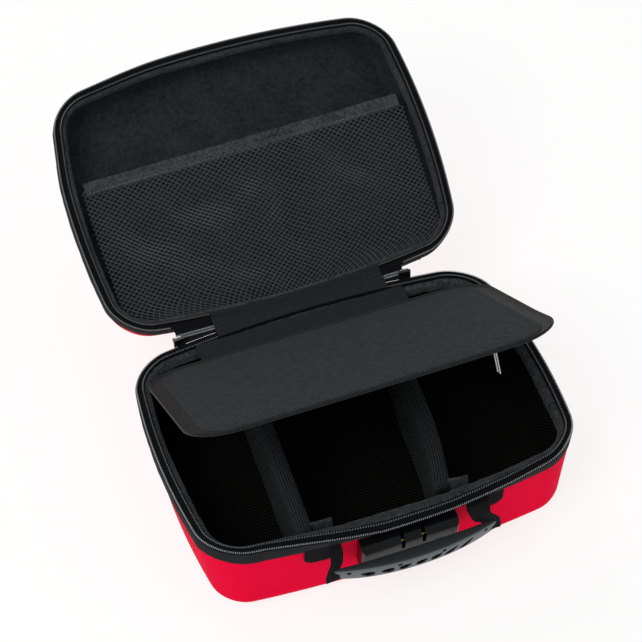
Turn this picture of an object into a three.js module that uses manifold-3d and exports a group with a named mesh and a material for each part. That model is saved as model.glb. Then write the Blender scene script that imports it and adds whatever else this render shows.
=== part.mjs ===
// Hard-shell carry case with a hinged lid, an inner flap, loose dividers, a zip, a lock and a handle.
// Millimetres. X is to the right, Y to the rear, Z up. The origin is the centre of the base's underside.
import * as THREE from 'three';
import { mergeVertices } from 'three/addons/utils/BufferGeometryUtils.js';
import Module from 'manifold-3d';

const wasm = await Module();
wasm.setup();

// ---- driving dimensions ----
const CASE_WIDTH = 340;
const CASE_DEPTH = 251;
const CORNER_RADIUS = 36;
const LONG_SIDE_BULGE = 0.108; // share of the half depth by which a long side's ends draw in
const SHORT_SIDE_BULGE = 0.063; // share of the half width by which a short side's ends draw in
const RIM_HEIGHT = 85; // top of the base's zip tape
const SEAM_HEIGHT = 86.8; // where the closed rims meet
const LID_HEIGHT = 46; // from the seam to the lid's top
const GAP = 0.3; // clearance between pieces that touch

const SHELL_THICKNESS = 3;
const LINING_THICKNESS = 1.5;
const BAND_THICKNESS = 1.6;
const BAND_HEIGHT = 12;
const SHELL_TOP_INSET = 0.8;
const BASE_DRAFT = 8.7;
const BASE_FILLET = 17;
const LID_DRAFT = 4.5;
const LID_FILLET = 15;
const TAPE_THICKNESS = 0.6;
const TAPE_WIDTH = 7.2;
const COIL_INSET = 1.2;
const COIL_WIDTH = 1.8;
const BINDING_INSET = 7.5;
const BINDING_WIDTH = 4.8;
const BINDING_HEIGHT = 6.5;

const HINGE_CLEARANCE = 1.5; // hinge line behind the rear rim
const HINGE_Y = CASE_DEPTH / 2 + HINGE_CLEARANCE;
const HINGE_FABRIC_WIDTH = 158;
const HINGE_FABRIC_THICKNESS = 0.9;
const LID_OPEN_DEG = 149;

const FLAP_OPEN_DEG = 31.8;
const FLAP_HINGE_Y = 91.5;
const FLAP_HINGE_Z = 87;
const FLAP_WIDTH = 312;
const FLAP_DEPTH = 206;
const FLAP_THICKNESS = 2.6;
const FLAP_CORNER = 46;
const FLAP_LEDGE = { side: 13, front: 6, rear: 7 }; // round the raised panel
const FLAP_PANEL_THICKNESS = 1.1;
const FLAP_ZIP_Y = -178; // from the flap's hinge line
const FLAP_ZIP_FROM = -124;
const FLAP_ZIP_TO = 119;
const FLAP_SLIDER_X = 101;
const WIRE = 0.8;
const WIRE_PULL_LENGTH = 22;
const WIRE_PULL_WIDTH = 6.4;

const DIVIDER_THICKNESS = 13;
const DIVIDER_TOP = 79;
const DIVIDER_LENGTH = 212;
const DIVIDERS = { left: { x: -73, yawDeg: -3.4 }, right: { x: 56, yawDeg: -9.5 } };
const TAB_WIDTH = 14.7;
const TAB_THICKNESS = 2.4;
const TAB_FOOT = 26;
const TAB_TOP = 76;

const LOCK_WIDTH = 84;
const LOCK_HEIGHT = 32;
const LOCK_DEPTH = 12.5;
const LOCK_CHAMFER = 5;
const LOCK_Z = 54.5;
const LOCK_WALL = 2;
const LOCK_RIVET_X = [-13, 36];
const LOCK_RIB_X = [-37.6, -17]; // ribs that carry the spindle's ends
const PIN_HOLE = { x: 35.5, z: 5, radius: 0.9 };
const PULLER_SLOT_X = [-7, 11];
const PULLER_SLOT_WIDTH = 3.2;
const LATCH_RADIUS = 1.1;
const DIAL_X = [-33, -27, -21];
const DIAL_Z = -6; // the dials sit low in the front, under the handle
const DIAL_RADIUS = 5.2;
const DIAL_THICKNESS = 3.8;
const DIAL_STANDS_OUT = 0.9;
const DIAL_WINDOW = { width: 4.6, height: 10 };
const SPINDLE_RADIUS = 1.4;
const BUTTON_X = 25;
const BUTTON_OPENING = { halfWidth: 4.5, bottom: -9.8, top: -1.6 };
const BUTTON_THUMB = { halfWidth: 4, bottom: -6.3, top: -2.2 };
const BUTTON_FOOT = { halfWidth: 6, bottom: -6.9, top: 3.6, depth: 5.5 };
const BUTTON_SPRING = { y: -6, bottom: -12.9, length: 5.7, inner: 0.9, outer: 1.5 };

const HANDLE_HALF_LENGTH = 76;
const HANDLE_PIVOT = { x: 67, y: -129.4, z: 68.5 };
const HANDLE_NECK = { fromX: 60.9, toX: 72.4, y: -142.6, z: 56.4, radius: 2.6 };
const STRAP_WIDTH = 10;
const STRAP_RADIUS = 4.6;
const PATCH = { top: 71.2, bottom: 54, inward: 6, outward: 19, thickness: 1.4 }; // sizes from the pivot's x

const SLIDER_X = { left: -112, right: 98 };
const SLIDER_BODY = { halfWidth: 5.5, depth: 3, halfHeight: 4.6 };
const SLIDER_RING_Y = 5.8; // the pull's pin behind the slider's face
const PULL_LENGTH = 24;

// ---- colours ----
const RED = 0xd8063a;
const BLACK = 0x191b1d;
const CHARCOAL = 0x2c2e31;
const GREY = 0x3a3d40;
const RUBBER = 0x54595e;
const SILVER = 0xb9bcc0;
const BRASS = 0xb5853a;

const fabric = (color) => new THREE.MeshStandardMaterial({ color, roughness: 0.95, metalness: 0 });
const plastic = (color) => new THREE.MeshStandardMaterial({ color, roughness: 0.3, metalness: 0 });
const metal = (color) => new THREE.MeshStandardMaterial({ color, roughness: 0.3, metalness: 1 });

const radians = THREE.MathUtils.degToRad;

function named(name, geometry, material, parent) {
  const mesh = new THREE.Mesh(geometry, material);
  mesh.name = name;
  parent.add(mesh);
  return mesh;
}

// ---- closed surfaces from rings of points ----

// Turns the triangles outward when they enclose a negative volume.
function facingOut(points, triangles) {
  let volume = 0;
  for (const [a, b, c] of triangles) {
    volume += points[a].dot(new THREE.Vector3().crossVectors(points[b], points[c]));
  }
  const outward = volume > 0 ? triangles : triangles.map(([a, b, c]) => [a, c, b]);
  const geometry = new THREE.BufferGeometry();
  const flat = points.flatMap((p) => [p.x, p.y, p.z]);
  geometry.setAttribute('position', new THREE.Float32BufferAttribute(flat, 3));
  geometry.setIndex(outward.flat());
  geometry.computeVertexNormals();
  return geometry;
}

// Triangles between each ring and the next. When endless, the last ring meets the first.
function sideTriangles(ringCount, size, endless) {
  const triangles = [];
  const last = endless ? ringCount : ringCount - 1;
  for (let r = 0; r < last; r += 1) {
    const here = r * size;
    const there = ((r + 1) % ringCount) * size;
    for (let i = 0; i < size; i += 1) {
      const j = (i + 1) % size;
      triangles.push([here + i, there + i, there + j]);
      triangles.push([here + i, there + j, here + j]);
    }
  }
  return triangles;
}

// Joins each ring to the next and closes both ends with a fan round the ring's centre.
function loft(rings) {
  const size = rings[0].length;
  const points = rings.flat();
  const triangles = sideTriangles(rings.length, size, false);
  const lastStart = (rings.length - 1) * size;
  for (const start of [0, lastStart]) {
    const centre = new THREE.Vector3();
    for (let i = 0; i < size; i += 1) centre.addScaledVector(points[start + i], 1 / size);
    const hub = points.push(centre) - 1;
    for (let i = 0; i < size; i += 1) {
      const j = (i + 1) % size;
      triangles.push(start === 0 ? [hub, i, j] : [hub, start + j, start + i]);
    }
  }
  return facingOut(points, triangles);
}

// ---- the case's outline, seen from above ----

const HALF_WIDTH = CASE_WIDTH / 2;
const HALF_DEPTH = CASE_DEPTH / 2;
const CORE_X = HALF_WIDTH - CORNER_RADIUS;
const CORE_Y = HALF_DEPTH - CORNER_RADIUS;
const CORNER_STEPS = 5;
const SIDE_STEPS = [4, 6, 4, 6];
const REAR_SHRINK = 1 - SHORT_SIDE_BULGE; // how the outline scales x along the rear and front sides

const station = (x, y, angle) => ({ x, y, nx: Math.cos(angle), ny: Math.sin(angle) });

// A point on the outline drawn in by an inset. Both pairs of sides bow outward.
function outlinePoint(at, inset, z) {
  const x = at.x + at.nx * (CORNER_RADIUS - inset);
  const y = at.y + at.ny * (CORNER_RADIUS - inset);
  const drawnX = x * (1 - SHORT_SIDE_BULGE * (y / HALF_DEPTH) ** 2);
  const drawnY = y * (1 - LONG_SIDE_BULGE * (x / HALF_WIDTH) ** 2);
  return new THREE.Vector3(drawnX, drawnY, z);
}

// Stations from the rear left corner round by the front to the rear right corner.
function stationsRoundFront() {
  const corners = [[-CORE_X, CORE_Y], [-CORE_X, -CORE_Y], [CORE_X, -CORE_Y], [CORE_X, CORE_Y]];
  const stations = [];
  corners.forEach(([x, y], k) => {
    for (let i = 0; i <= CORNER_STEPS; i += 1) {
      stations.push(station(x, y, (Math.PI / 2) * (k + 1 + i / CORNER_STEPS)));
    }
    if (k === corners.length - 1) return;
    const [nextX, nextY] = corners[k + 1];
    for (let i = 1; i < SIDE_STEPS[k]; i += 1) {
      const t = i / SIDE_STEPS[k];
      stations.push(station(x + (nextX - x) * t, y + (nextY - y) * t, (Math.PI / 2) * (k + 2)));
    }
  });
  return stations;
}

// Stations along the rear (side 1) or the front (side -1) between two places given in true x.
function stationsAlong(side, fromX, toX, steps) {
  return Array.from({ length: steps + 1 }, (_, i) => {
    const x = (fromX + ((toX - fromX) * i) / steps) / REAR_SHRINK;
    return station(x, side * CORE_Y, (side * Math.PI) / 2);
  });
}

const ROUND_FRONT = stationsRoundFront();
const REAR = stationsAlong(1, CORE_X * REAR_SHRINK, -CORE_X * REAR_SHRINK, 6).slice(1, -1);
const ALL_ROUND = [...ROUND_FRONT, ...REAR];

// The height of a point given from the seam, downward for the base and upward for the lid.
const baseHeight = (fromSeam) => SEAM_HEIGHT - fromSeam;
const lidHeight = (fromSeam) => fromSeam;

// The rings of a section of inset and height pairs, in axes whose origin is centreY to the rear.
function ringsOf(stations, section, height, centreY) {
  return stations.map((at) =>
    section.map(([inset, fromSeam]) => {
      const point = outlinePoint(at, inset, height(fromSeam));
      return point.setY(point.y - centreY);
    }),
  );
}

// A bowl whose profile runs from the outside centre over the rim to the inside centre.
function bowl(profile, height, centreY = 0) {
  return loft(profile.map((pair) => ringsOf(ALL_ROUND, [pair], height, centreY).flat()));
}

// A closed section carried all round.
function carriedRound(section, height, centreY = 0) {
  const rings = ringsOf(ALL_ROUND, section, height, centreY);
  return facingOut(rings.flat(), sideTriangles(rings.length, section.length, true));
}

// A closed section carried from station to station, with flat ends.
function carried(stations, section, height, centreY = 0) {
  const rings = ringsOf(stations, section, height, centreY);
  const triangles = sideTriangles(rings.length, section.length, false);
  const lastStart = (rings.length - 1) * section.length;
  const contour = section.map(([inset, fromSeam]) => new THREE.Vector2(inset, fromSeam));
  for (const corners of THREE.ShapeUtils.triangulateShape(contour, [])) {
    const [a, b, c] = [...corners].sort((p, q) => p - q);
    triangles.push([a, b, c]);
    triangles.push([lastStart + c, lastStart + b, lastStart + a]);
  }
  return facingOut(rings.flat(), triangles);
}

// ---- small solids ----

function box(x0, x1, y0, y1, z0, z1) {
  const geometry = new THREE.BoxGeometry(x1 - x0, y1 - y0, z1 - z0);
  return geometry.translate((x0 + x1) / 2, (y0 + y1) / 2, (z0 + z1) / 2);
}

// Extrudes an outline given in Y and Z along X.
function alongX(outline, x0, x1, holes = []) {
  const shape = new THREE.Shape(outline.map(([y, z]) => new THREE.Vector2(y, z)));
  shape.holes = holes;
  const settings = { depth: x1 - x0, bevelEnabled: false, curveSegments: 10 };
  const geometry = new THREE.ExtrudeGeometry(shape, settings);
  const turn = new THREE.Matrix4().set(0, 0, 1, x0, 1, 0, 0, 0, 0, 1, 0, 0, 0, 0, 0, 1);
  return geometry.applyMatrix4(turn);
}

function cylinderAlongX(radius, x0, x1, y, z, sides = 20) {
  const geometry = new THREE.CylinderGeometry(radius, radius, x1 - x0, sides);
  return geometry.rotateZ(Math.PI / 2).translate((x0 + x1) / 2, y, z);
}

function cylinderAlongY(radius, y0, y1, x, z, sides = 14) {
  return new THREE.CylinderGeometry(radius, radius, y1 - y0, sides).translate(x, (y0 + y1) / 2, z);
}

function roundedPlate(x0, x1, y0, y1, radius, z0, z1) {
  const shape = new THREE.Shape();
  shape.absarc(x1 - radius, y1 - radius, radius, 0, Math.PI / 2);
  shape.absarc(x0 + radius, y1 - radius, radius, Math.PI / 2, Math.PI);
  shape.absarc(x0 + radius, y0 + radius, radius, Math.PI, Math.PI * 1.5);
  shape.absarc(x1 - radius, y0 + radius, radius, Math.PI * 1.5, Math.PI * 2);
  const settings = { depth: z1 - z0, bevelEnabled: false, curveSegments: 6 };
  return new THREE.ExtrudeGeometry(shape, settings).translate(0, 0, z0);
}

// ---- joining and cutting ----

function solid(geometry) {
  const bare = geometry.clone();
  bare.deleteAttribute('normal');
  bare.deleteAttribute('uv');
  const merged = mergeVertices(bare, 1e-4);
  const mesh = new wasm.Mesh({
    numProp: 3,
    vertProperties: new Float32Array(merged.attributes.position.array),
    triVerts: new Uint32Array(merged.index.array),
  });
  return new wasm.Manifold(mesh);
}

function geometryOf(manifold) {
  const mesh = manifold.getMesh();
  const geometry = new THREE.BufferGeometry();
  geometry.setAttribute('position', new THREE.BufferAttribute(new Float32Array(mesh.vertProperties), 3));
  geometry.setIndex(new THREE.BufferAttribute(new Uint32Array(mesh.triVerts), 1));
  geometry.computeVertexNormals();
  return geometry;
}

function combine(start, added, removed) {
  let result = solid(start);
  for (const geometry of added) result = result.add(solid(geometry));
  for (const geometry of removed) result = result.subtract(solid(geometry));
  return geometryOf(result);
}

// ---- profiles shared by the base and the lid ----

const RIM_DROP = SEAM_HEIGHT - RIM_HEIGHT; // from the seam to the top of the zip tape
const BAND_TOP = RIM_DROP + TAPE_THICKNESS + GAP;
const BAND_BOTTOM = BAND_TOP + BAND_HEIGHT;
const WALL_INSET = BAND_THICKNESS + 2 * GAP;
const LINING_INSET = WALL_INSET + SHELL_THICKNESS + GAP;
const BINDING_DROP = 3; // the binding stands a little lower than the tape

// The quarter round from a wall to a flat, as inset and height pairs.
function fillet(inset, depth, radius, steps, inward = 0) {
  const r = radius - inward;
  return Array.from({ length: steps + 1 }, (_, i) => {
    const angle = (Math.PI / 2) * (i / steps);
    return [inset + inward + r * (1 - Math.cos(angle)), depth - radius + r * Math.sin(angle)];
  });
}

function shellProfile(depth, draft, radius) {
  const outside = fillet(draft, depth, radius, 3).reverse();
  const inside = fillet(draft, depth, radius, 3, SHELL_THICKNESS);
  return [
    ...outside,
    [SHELL_TOP_INSET, BAND_BOTTOM + GAP],
    [WALL_INSET, BAND_BOTTOM + GAP],
    [WALL_INSET, BAND_TOP + 1],
    [WALL_INSET + SHELL_THICKNESS, BAND_TOP + 1],
    [WALL_INSET + SHELL_THICKNESS, BAND_BOTTOM + GAP],
    ...inside,
  ];
}

function liningProfile(depth, draft, radius) {
  const out = SHELL_THICKNESS + GAP;
  const outside = fillet(draft, depth, radius, 3, out).reverse();
  const inside = fillet(draft, depth, radius, 3, out + LINING_THICKNESS);
  const top = BINDING_DROP + BINDING_HEIGHT / 2;
  return [
    ...outside,
    [LINING_INSET, BAND_BOTTOM + GAP],
    [LINING_INSET, top],
    [LINING_INSET + LINING_THICKNESS, top],
    [LINING_INSET + LINING_THICKNESS, BAND_BOTTOM + GAP],
    ...inside,
  ];
}

const rectangle = (inset0, inset1, drop0, drop1) => [
  [inset0, drop0], [inset1, drop0], [inset1, drop1], [inset0, drop1],
];
const bandSection = rectangle(0, BAND_THICKNESS, BAND_TOP, BAND_BOTTOM);
const tapeSection = rectangle(GAP, TAPE_WIDTH, RIM_DROP, RIM_DROP + TAPE_THICKNESS);
const coilSection = rectangle(COIL_INSET, COIL_INSET + COIL_WIDTH, GAP / 2, RIM_DROP - GAP);

// A rounded bead over the lining's edge.
const bindingSection = [
  [BINDING_INSET, BINDING_DROP + 2],
  [BINDING_INSET + 1.2, BINDING_DROP],
  [BINDING_INSET + BINDING_WIDTH - 1.6, BINDING_DROP],
  [BINDING_INSET + BINDING_WIDTH, BINDING_DROP + 1.8],
  [BINDING_INSET + BINDING_WIDTH, BINDING_DROP + BINDING_HEIGHT - 1.8],
  [BINDING_INSET + BINDING_WIDTH - 1.6, BINDING_DROP + BINDING_HEIGHT],
  [BINDING_INSET, BINDING_DROP + BINDING_HEIGHT - 1],
];

// Fabric that lies on the tape, folds over the rim and runs down the rear wall.
const hingeFabricSection = [
  [-GAP - HINGE_FABRIC_THICKNESS, 26],
  [-GAP, 26],
  [-GAP, RIM_DROP - GAP],
  [TAPE_WIDTH, RIM_DROP - GAP],
  [TAPE_WIDTH, RIM_DROP - GAP - HINGE_FABRIC_THICKNESS],
  [-GAP - HINGE_FABRIC_THICKNESS, RIM_DROP - GAP - HINGE_FABRIC_THICKNESS],
];

// The rim pieces of one half. The coil stops on both sides of the hinge fabric.
function addRim(prefix, height, centreY, parent) {
  const coilEnd = HINGE_FABRIC_WIDTH / 2 + 1;
  const coilPath = [
    ...stationsAlong(1, -coilEnd, -coilEnd, 1).slice(1),
    ...ROUND_FRONT,
    ...stationsAlong(1, coilEnd, coilEnd, 1).slice(1),
  ];
  const hingePath = stationsAlong(1, HINGE_FABRIC_WIDTH / 2, -HINGE_FABRIC_WIDTH / 2, 6);
  const ring = (section) => carriedRound(section, height, centreY);
  named(`${prefix}_rim_band`, ring(bandSection), fabric(CHARCOAL), parent);
  named(`${prefix}_zip_tape`, ring(tapeSection), fabric(BLACK), parent);
  named(`${prefix}_zip_coil`, carried(coilPath, coilSection, height, centreY), plastic(BLACK), parent);
  named(`${prefix}_binding`, ring(bindingSection), fabric(GREY), parent);
  const hingeFabric = carried(hingePath, hingeFabricSection, height, centreY);
  named(`hinge_fabric_${prefix}`, hingeFabric, fabric(BLACK), parent);
}

// ---- the base ----

const LOCK_TILT = Math.atan2(BASE_DRAFT - SHELL_TOP_INSET, RIM_HEIGHT - BAND_HEIGHT - BASE_FILLET);
const RIVET_RADIUS = 1.45;
const RIVET_HOLE_RADIUS = 1.8;

// Inset of the base's red wall at a height above the floor.
function wallInset(z) {
  const top = SEAM_HEIGHT - BAND_BOTTOM - GAP;
  const share = (top - z) / (top - BASE_FILLET);
  return SHELL_TOP_INSET + share * (BASE_DRAFT - SHELL_TOP_INSET);
}

function lockFrame() {
  const frame = new THREE.Group();
  frame.position.set(0, -(HALF_DEPTH - wallInset(LOCK_Z)) - 0.5, LOCK_Z);
  frame.rotation.x = LOCK_TILT;
  frame.updateMatrix();
  return frame;
}

function addBase(parent) {
  const rivetHoles = LOCK_RIVET_X.map((x) =>
    cylinderAlongY(RIVET_HOLE_RADIUS, -4, 20, x, 0).applyMatrix4(lockFrame().matrix),
  );
  const shell = bowl(shellProfile(SEAM_HEIGHT, BASE_DRAFT, BASE_FILLET), baseHeight);
  const lining = bowl(liningProfile(SEAM_HEIGHT, BASE_DRAFT, BASE_FILLET), baseHeight);
  named('base_shell', combine(shell, [], rivetHoles), fabric(RED), parent);
  named('base_lining', combine(lining, [], rivetHoles), fabric(BLACK), parent);
  addRim('base', baseHeight, 0, parent);
}

// ---- the lid, made in its closed place and turned open about the hinge line ----

function addLid(parent) {
  const lid = new THREE.Group();
  lid.position.set(0, HINGE_Y, SEAM_HEIGHT);
  lid.rotation.x = -radians(LID_OPEN_DEG);
  parent.add(lid);
  const shell = bowl(shellProfile(LID_HEIGHT, LID_DRAFT, LID_FILLET), lidHeight, HINGE_Y);
  const lining = bowl(liningProfile(LID_HEIGHT, LID_DRAFT, LID_FILLET), lidHeight, HINGE_Y);
  named('lid_shell', shell, fabric(RED), lid);
  named('lid_lining', lining, fabric(BLACK), lid);
  addRim('lid', lidHeight, HINGE_Y, lid);
  addMeshPocket(lid);
}

// A stretched net over the hinge-side two thirds of the lid, edged with a band.
function addMeshPocket(lid) {
  const netInset = LINING_INSET + LINING_THICKNESS + 2 * GAP;
  const bandInner = -150;
  const bandOuter = -162;
  const net = 1;
  const depth = BINDING_DROP + BINDING_HEIGHT + GAP;
  const middle = ROUND_FRONT.length / 2;
  const rightToLeft = [...ROUND_FRONT.slice(middle), ...REAR, ...ROUND_FRONT.slice(0, middle)];
  const edge = rightToLeft.map((at) => outlinePoint(at, netInset, 0)).map((p) => [p.x, p.y - HINGE_Y]);
  const inside = edge.filter(([, y]) => y > bandInner + 0.5);
  const widest = Math.max(...inside.map(([x]) => x)) - 0.6;
  const outline = [[widest, bandInner], ...inside, [-widest, bandInner]];
  const shape = new THREE.Shape(outline.map(([x, y]) => new THREE.Vector2(x, y)));
  const settings = { depth: net, bevelEnabled: false };
  const pocket = new THREE.ExtrudeGeometry(shape, settings).translate(0, 0, depth);
  named('mesh_pocket', pocket, fabric(CHARCOAL), lid);
  const half = widest - 2;
  const band = box(-half, half, bandOuter, bandInner - GAP, depth, depth + 1.4);
  named('mesh_pocket_band', band, fabric(GREY), lid);
}

// ---- the flap over the compartments ----

function addFlap(parent) {
  named('flap_hinge_strip', box(-101, 91, FLAP_HINGE_Y + 2, 112.4, 84.2, 85.2), fabric(GREY), parent);

  const flap = new THREE.Group();
  flap.position.set(0, FLAP_HINGE_Y, FLAP_HINGE_Z);
  flap.rotation.x = -radians(FLAP_OPEN_DEG);
  parent.add(flap);
  const half = FLAP_WIDTH / 2;
  const top = FLAP_THICKNESS / 2;
  const board = roundedPlate(-half, half, -FLAP_DEPTH, -0.7, FLAP_CORNER, -top, top);
  const side = half - FLAP_LEDGE.side;
  const front = -FLAP_DEPTH + FLAP_LEDGE.front;
  const panelTop = top + GAP + FLAP_PANEL_THICKNESS;
  const panel = roundedPlate(-side, side, front, -FLAP_LEDGE.rear, FLAP_CORNER - 9, top + GAP, panelTop);
  named('flap_board', board, fabric(GREY), flap);
  named('flap_panel', panel, fabric(GREY), flap);
  addFlapZip(flap);
}

// A pocket zip under the flap, with a slider and a wire pull that hangs from it.
function addFlapZip(flap) {
  const tapeTop = -FLAP_THICKNESS / 2 - GAP;
  const tape = box(FLAP_ZIP_FROM, FLAP_ZIP_TO, FLAP_ZIP_Y - 7, FLAP_ZIP_Y + 7, tapeTop - 1, tapeTop);
  named('flap_zip', tape, fabric(BLACK), flap);

  const bodyTop = tapeTop - 1 - GAP;
  const body = roundedPlate(-5, 5, -4, 4, 2, bodyTop - 2.4, bodyTop);
  const posts = [-3.2, 2].map((from) => box(from, from + 1.2, -1, 1, bodyTop - 5.2, bodyTop - 1));
  const bridge = box(-3.2, 3.2, -1, 1, bodyTop - 5.2, bodyTop - 4.2);
  const slider = combine(body, [...posts, bridge], []).translate(FLAP_SLIDER_X, FLAP_ZIP_Y, 0);
  named('flap_zip_slider', slider, metal(SILVER), flap);
  const pull = wirePull().translate(FLAP_SLIDER_X, FLAP_ZIP_Y, bodyTop - 3.3);
  named('flap_wire_pull', pull, metal(SILVER), flap);
}

// A flat wire loop that hangs with its top bar through the slider's bridge.
function wirePull() {
  const half = WIRE / 2;
  const corners = (y, top, bottom) => [[-y, top], [y, top], [y, bottom], [-y, bottom]];
  const inner = corners(WIRE_PULL_WIDTH / 2 - WIRE, -half, half - WIRE_PULL_LENGTH);
  const hole = new THREE.Path(inner.map((p) => new THREE.Vector2(...p)));
  return alongX(corners(WIRE_PULL_WIDTH / 2, half, -half - WIRE_PULL_LENGTH).reverse(), -half, half, [hole]);
}

// ---- dividers ----

function addDivider(side, parent) {
  const { x, yawDeg } = DIVIDERS[side];
  const half = DIVIDER_LENGTH / 2;
  const thick = DIVIDER_THICKNESS / 2;
  const frame = new THREE.Group();
  frame.position.set(x, 0, 0);
  frame.rotation.z = radians(yawDeg);
  parent.add(frame);
  const outline = [
    [-half + 1, DIVIDER_TOP - 4], [-half + 5, DIVIDER_TOP],
    [half - 5, DIVIDER_TOP], [half - 1, DIVIDER_TOP - 4],
    [half - 3, 24], [half - 17, 5.4], [-half + 17, 5.4], [-half + 3, 24],
  ];
  named(`divider_${side}`, alongX(outline.reverse(), -thick, thick), fabric(GREY), frame);
  for (const [end, sign] of [['front', -1], ['rear', 1]]) {
    const tabY = sign * (half - 4 + TAB_THICKNESS / 2);
    const [front, rear] = [tabY - TAB_THICKNESS / 2, tabY + TAB_THICKNESS / 2];
    const tab = box(thick + GAP, thick + GAP + TAB_WIDTH, front, rear, TAB_FOOT, TAB_TOP);
    named(`divider_${side}_tab_${end}`, tab, fabric(GREY), frame);
  }
}

// ---- combination lock on the front wall ----

// The housing's section, drawn in by a margin from its outside. Its back stays open past the wall.
function lockSection(margin, back) {
  const halfHeight = LOCK_HEIGHT / 2 - margin;
  const front = margin - LOCK_DEPTH;
  const slope = LOCK_CHAMFER - LOCK_DEPTH + margin / 2;
  const shoulder = LOCK_HEIGHT / 2 - LOCK_CHAMFER - margin / 2;
  return [
    [back, -halfHeight], [back, halfHeight], [slope, halfHeight], [front, shoulder],
    [front, -shoulder], [slope, -halfHeight],
  ];
}

// A cutter through the housing's front wall.
function frontCutter(x, halfWidth, bottom, top) {
  return box(x - halfWidth, x + halfWidth, -LOCK_DEPTH - 1, -LOCK_DEPTH + LOCK_WALL + 1, bottom, top);
}

function addLock(parent) {
  const lock = lockFrame();
  parent.add(lock);
  const halfW = LOCK_WIDTH / 2;
  const halfH = LOCK_HEIGHT / 2;
  const ends = roundedPlate(-halfW, halfW, -LOCK_DEPTH - 1, 20, 5, -halfH - 1, halfH + 1);
  const block = solid(alongX(lockSection(0, 0), -halfW, halfW)).intersect(solid(ends));
  const hollow = solid(alongX(lockSection(LOCK_WALL, 1), -halfW + LOCK_WALL, halfW - LOCK_WALL));
  const ribs = LOCK_RIB_X.map((x) => alongX(lockSection(LOCK_WALL - 0.5, -2), x, x + 1.2));
  const slots = PULLER_SLOT_X.map((x) =>
    box(x - PULLER_SLOT_WIDTH / 2, x + PULLER_SLOT_WIDTH / 2, -LOCK_DEPTH - 1, -3.5, 3, halfH + 1),
  );
  const halfWindow = DIAL_WINDOW.height / 2;
  const windows = DIAL_X.map((x) =>
    frontCutter(x, DIAL_WINDOW.width / 2, DIAL_Z - halfWindow, DIAL_Z + halfWindow),
  );
  const opening = frontCutter(BUTTON_X, BUTTON_OPENING.halfWidth, BUTTON_OPENING.bottom, BUTTON_OPENING.top);
  const through = [-LOCK_DEPTH - 1, -LOCK_DEPTH + LOCK_WALL + 1];
  const pinHole = cylinderAlongY(PIN_HOLE.radius, ...through, PIN_HOLE.x, PIN_HOLE.z);
  const shell = geometryOf(block.subtract(hollow));
  const housing = combine(shell, ribs, [...slots, ...windows, opening, pinHole]);
  named('lock_housing', housing, plastic(BLACK), lock);

  const plateHalfW = halfW - LOCK_WALL - GAP;
  const plateHalfH = halfH - LOCK_WALL - GAP;
  const plateHoles = LOCK_RIVET_X.map((x) => cylinderAlongY(RIVET_HOLE_RADIUS, -3, 2, x, 0));
  const plate = box(-plateHalfW, plateHalfW, -1.5, -0.2, -plateHalfH, plateHalfH);
  named('lock_back_plate', combine(plate, [], plateHoles), metal(SILVER), lock);
  LOCK_RIVET_X.forEach((x, i) => {
    const profile = [
      [0, -2.9], [2.8, -2.9], [2.8, -1.8], [RIVET_RADIUS, -1.8], [RIVET_RADIUS, 7.4],
      [4, 7.4], [4, 8.2], [3, 8.8], [0, 8.8],
    ];
    const rivet = new THREE.LatheGeometry(profile.map((p) => new THREE.Vector2(...p)), 14);
    named(`lock_rivet_${i + 1}`, rivet.translate(x, 0, 0), metal(SILVER), lock);
  });

  const dialY = -LOCK_DEPTH + DIAL_RADIUS - DIAL_STANDS_OUT;
  const spindleFrom = LOCK_RIB_X[0] + 1.5;
  const spindleTo = LOCK_RIB_X[1] - GAP;
  const spindle = cylinderAlongX(SPINDLE_RADIUS, spindleFrom, spindleTo, dialY, DIAL_Z, 16);
  named('lock_spindle', spindle, metal(SILVER), lock);
  DIAL_X.forEach((x, i) => {
    const half = DIAL_THICKNESS / 2;
    const outer = cylinderAlongX(DIAL_RADIUS, x - half, x + half, dialY, DIAL_Z, 20);
    const bore = cylinderAlongX(SPINDLE_RADIUS + 0.35, x - half - 1, x + half + 1, dialY, DIAL_Z, 16);
    named(`lock_dial_${i + 1}`, combine(outer, [], [bore]), plastic(CHARCOAL), lock);
  });

  addLockButton(lock);
  PULLER_SLOT_X.forEach((x, i) => {
    const pin = cylinderAlongX(LATCH_RADIUS, x - 1.2, x + 4.8, -LOCK_DEPTH + 4.6, 8, 12);
    named(`lock_latch_${i + 1}`, pin, metal(BRASS), lock);
  });
}

// The release button slides down in the front window against a spring under its foot.
function addLockButton(lock) {
  const front = -LOCK_DEPTH;
  const inside = front + LOCK_WALL;
  const part = ({ halfWidth, bottom, top }, y0, y1) =>
    box(BUTTON_X - halfWidth, BUTTON_X + halfWidth, y0, y1, bottom, top);
  const foot = part(BUTTON_FOOT, inside + 0.4, inside + 0.4 + BUTTON_FOOT.depth);
  const thumb = part(BUTTON_THUMB, front - 1.2, inside + 0.6);
  named('lock_button', combine(foot, [thumb], []), plastic(CHARCOAL), lock);
  const { y, bottom, length, inner, outer } = BUTTON_SPRING;
  const section = [[inner, 0], [outer, 0], [outer, length], [inner, length], [inner, 0]];
  const spring = new THREE.LatheGeometry(section.map((p) => new THREE.Vector2(...p)), 10);
  spring.rotateX(Math.PI / 2).translate(BUTTON_X, y, bottom);
  named('lock_button_spring', spring, metal(SILVER), lock);
}

// ---- handle ----

// A webbing patch on the wall behind an end of the handle.
function webbingPatch(sign) {
  const { top, bottom, inward, outward, thickness } = PATCH;
  const stations = stationsAlong(-1, (HANDLE_PIVOT.x - inward) * sign, (HANDLE_PIVOT.x + outward) * sign, 3);
  const corner = (z, lift) => [wallInset(z) - lift, SEAM_HEIGHT - z];
  const outer = GAP + thickness;
  const section = [corner(top, GAP), corner(top, outer), corner(bottom, outer), corner(bottom, GAP)];
  return carried(stations, section, baseHeight);
}

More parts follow.
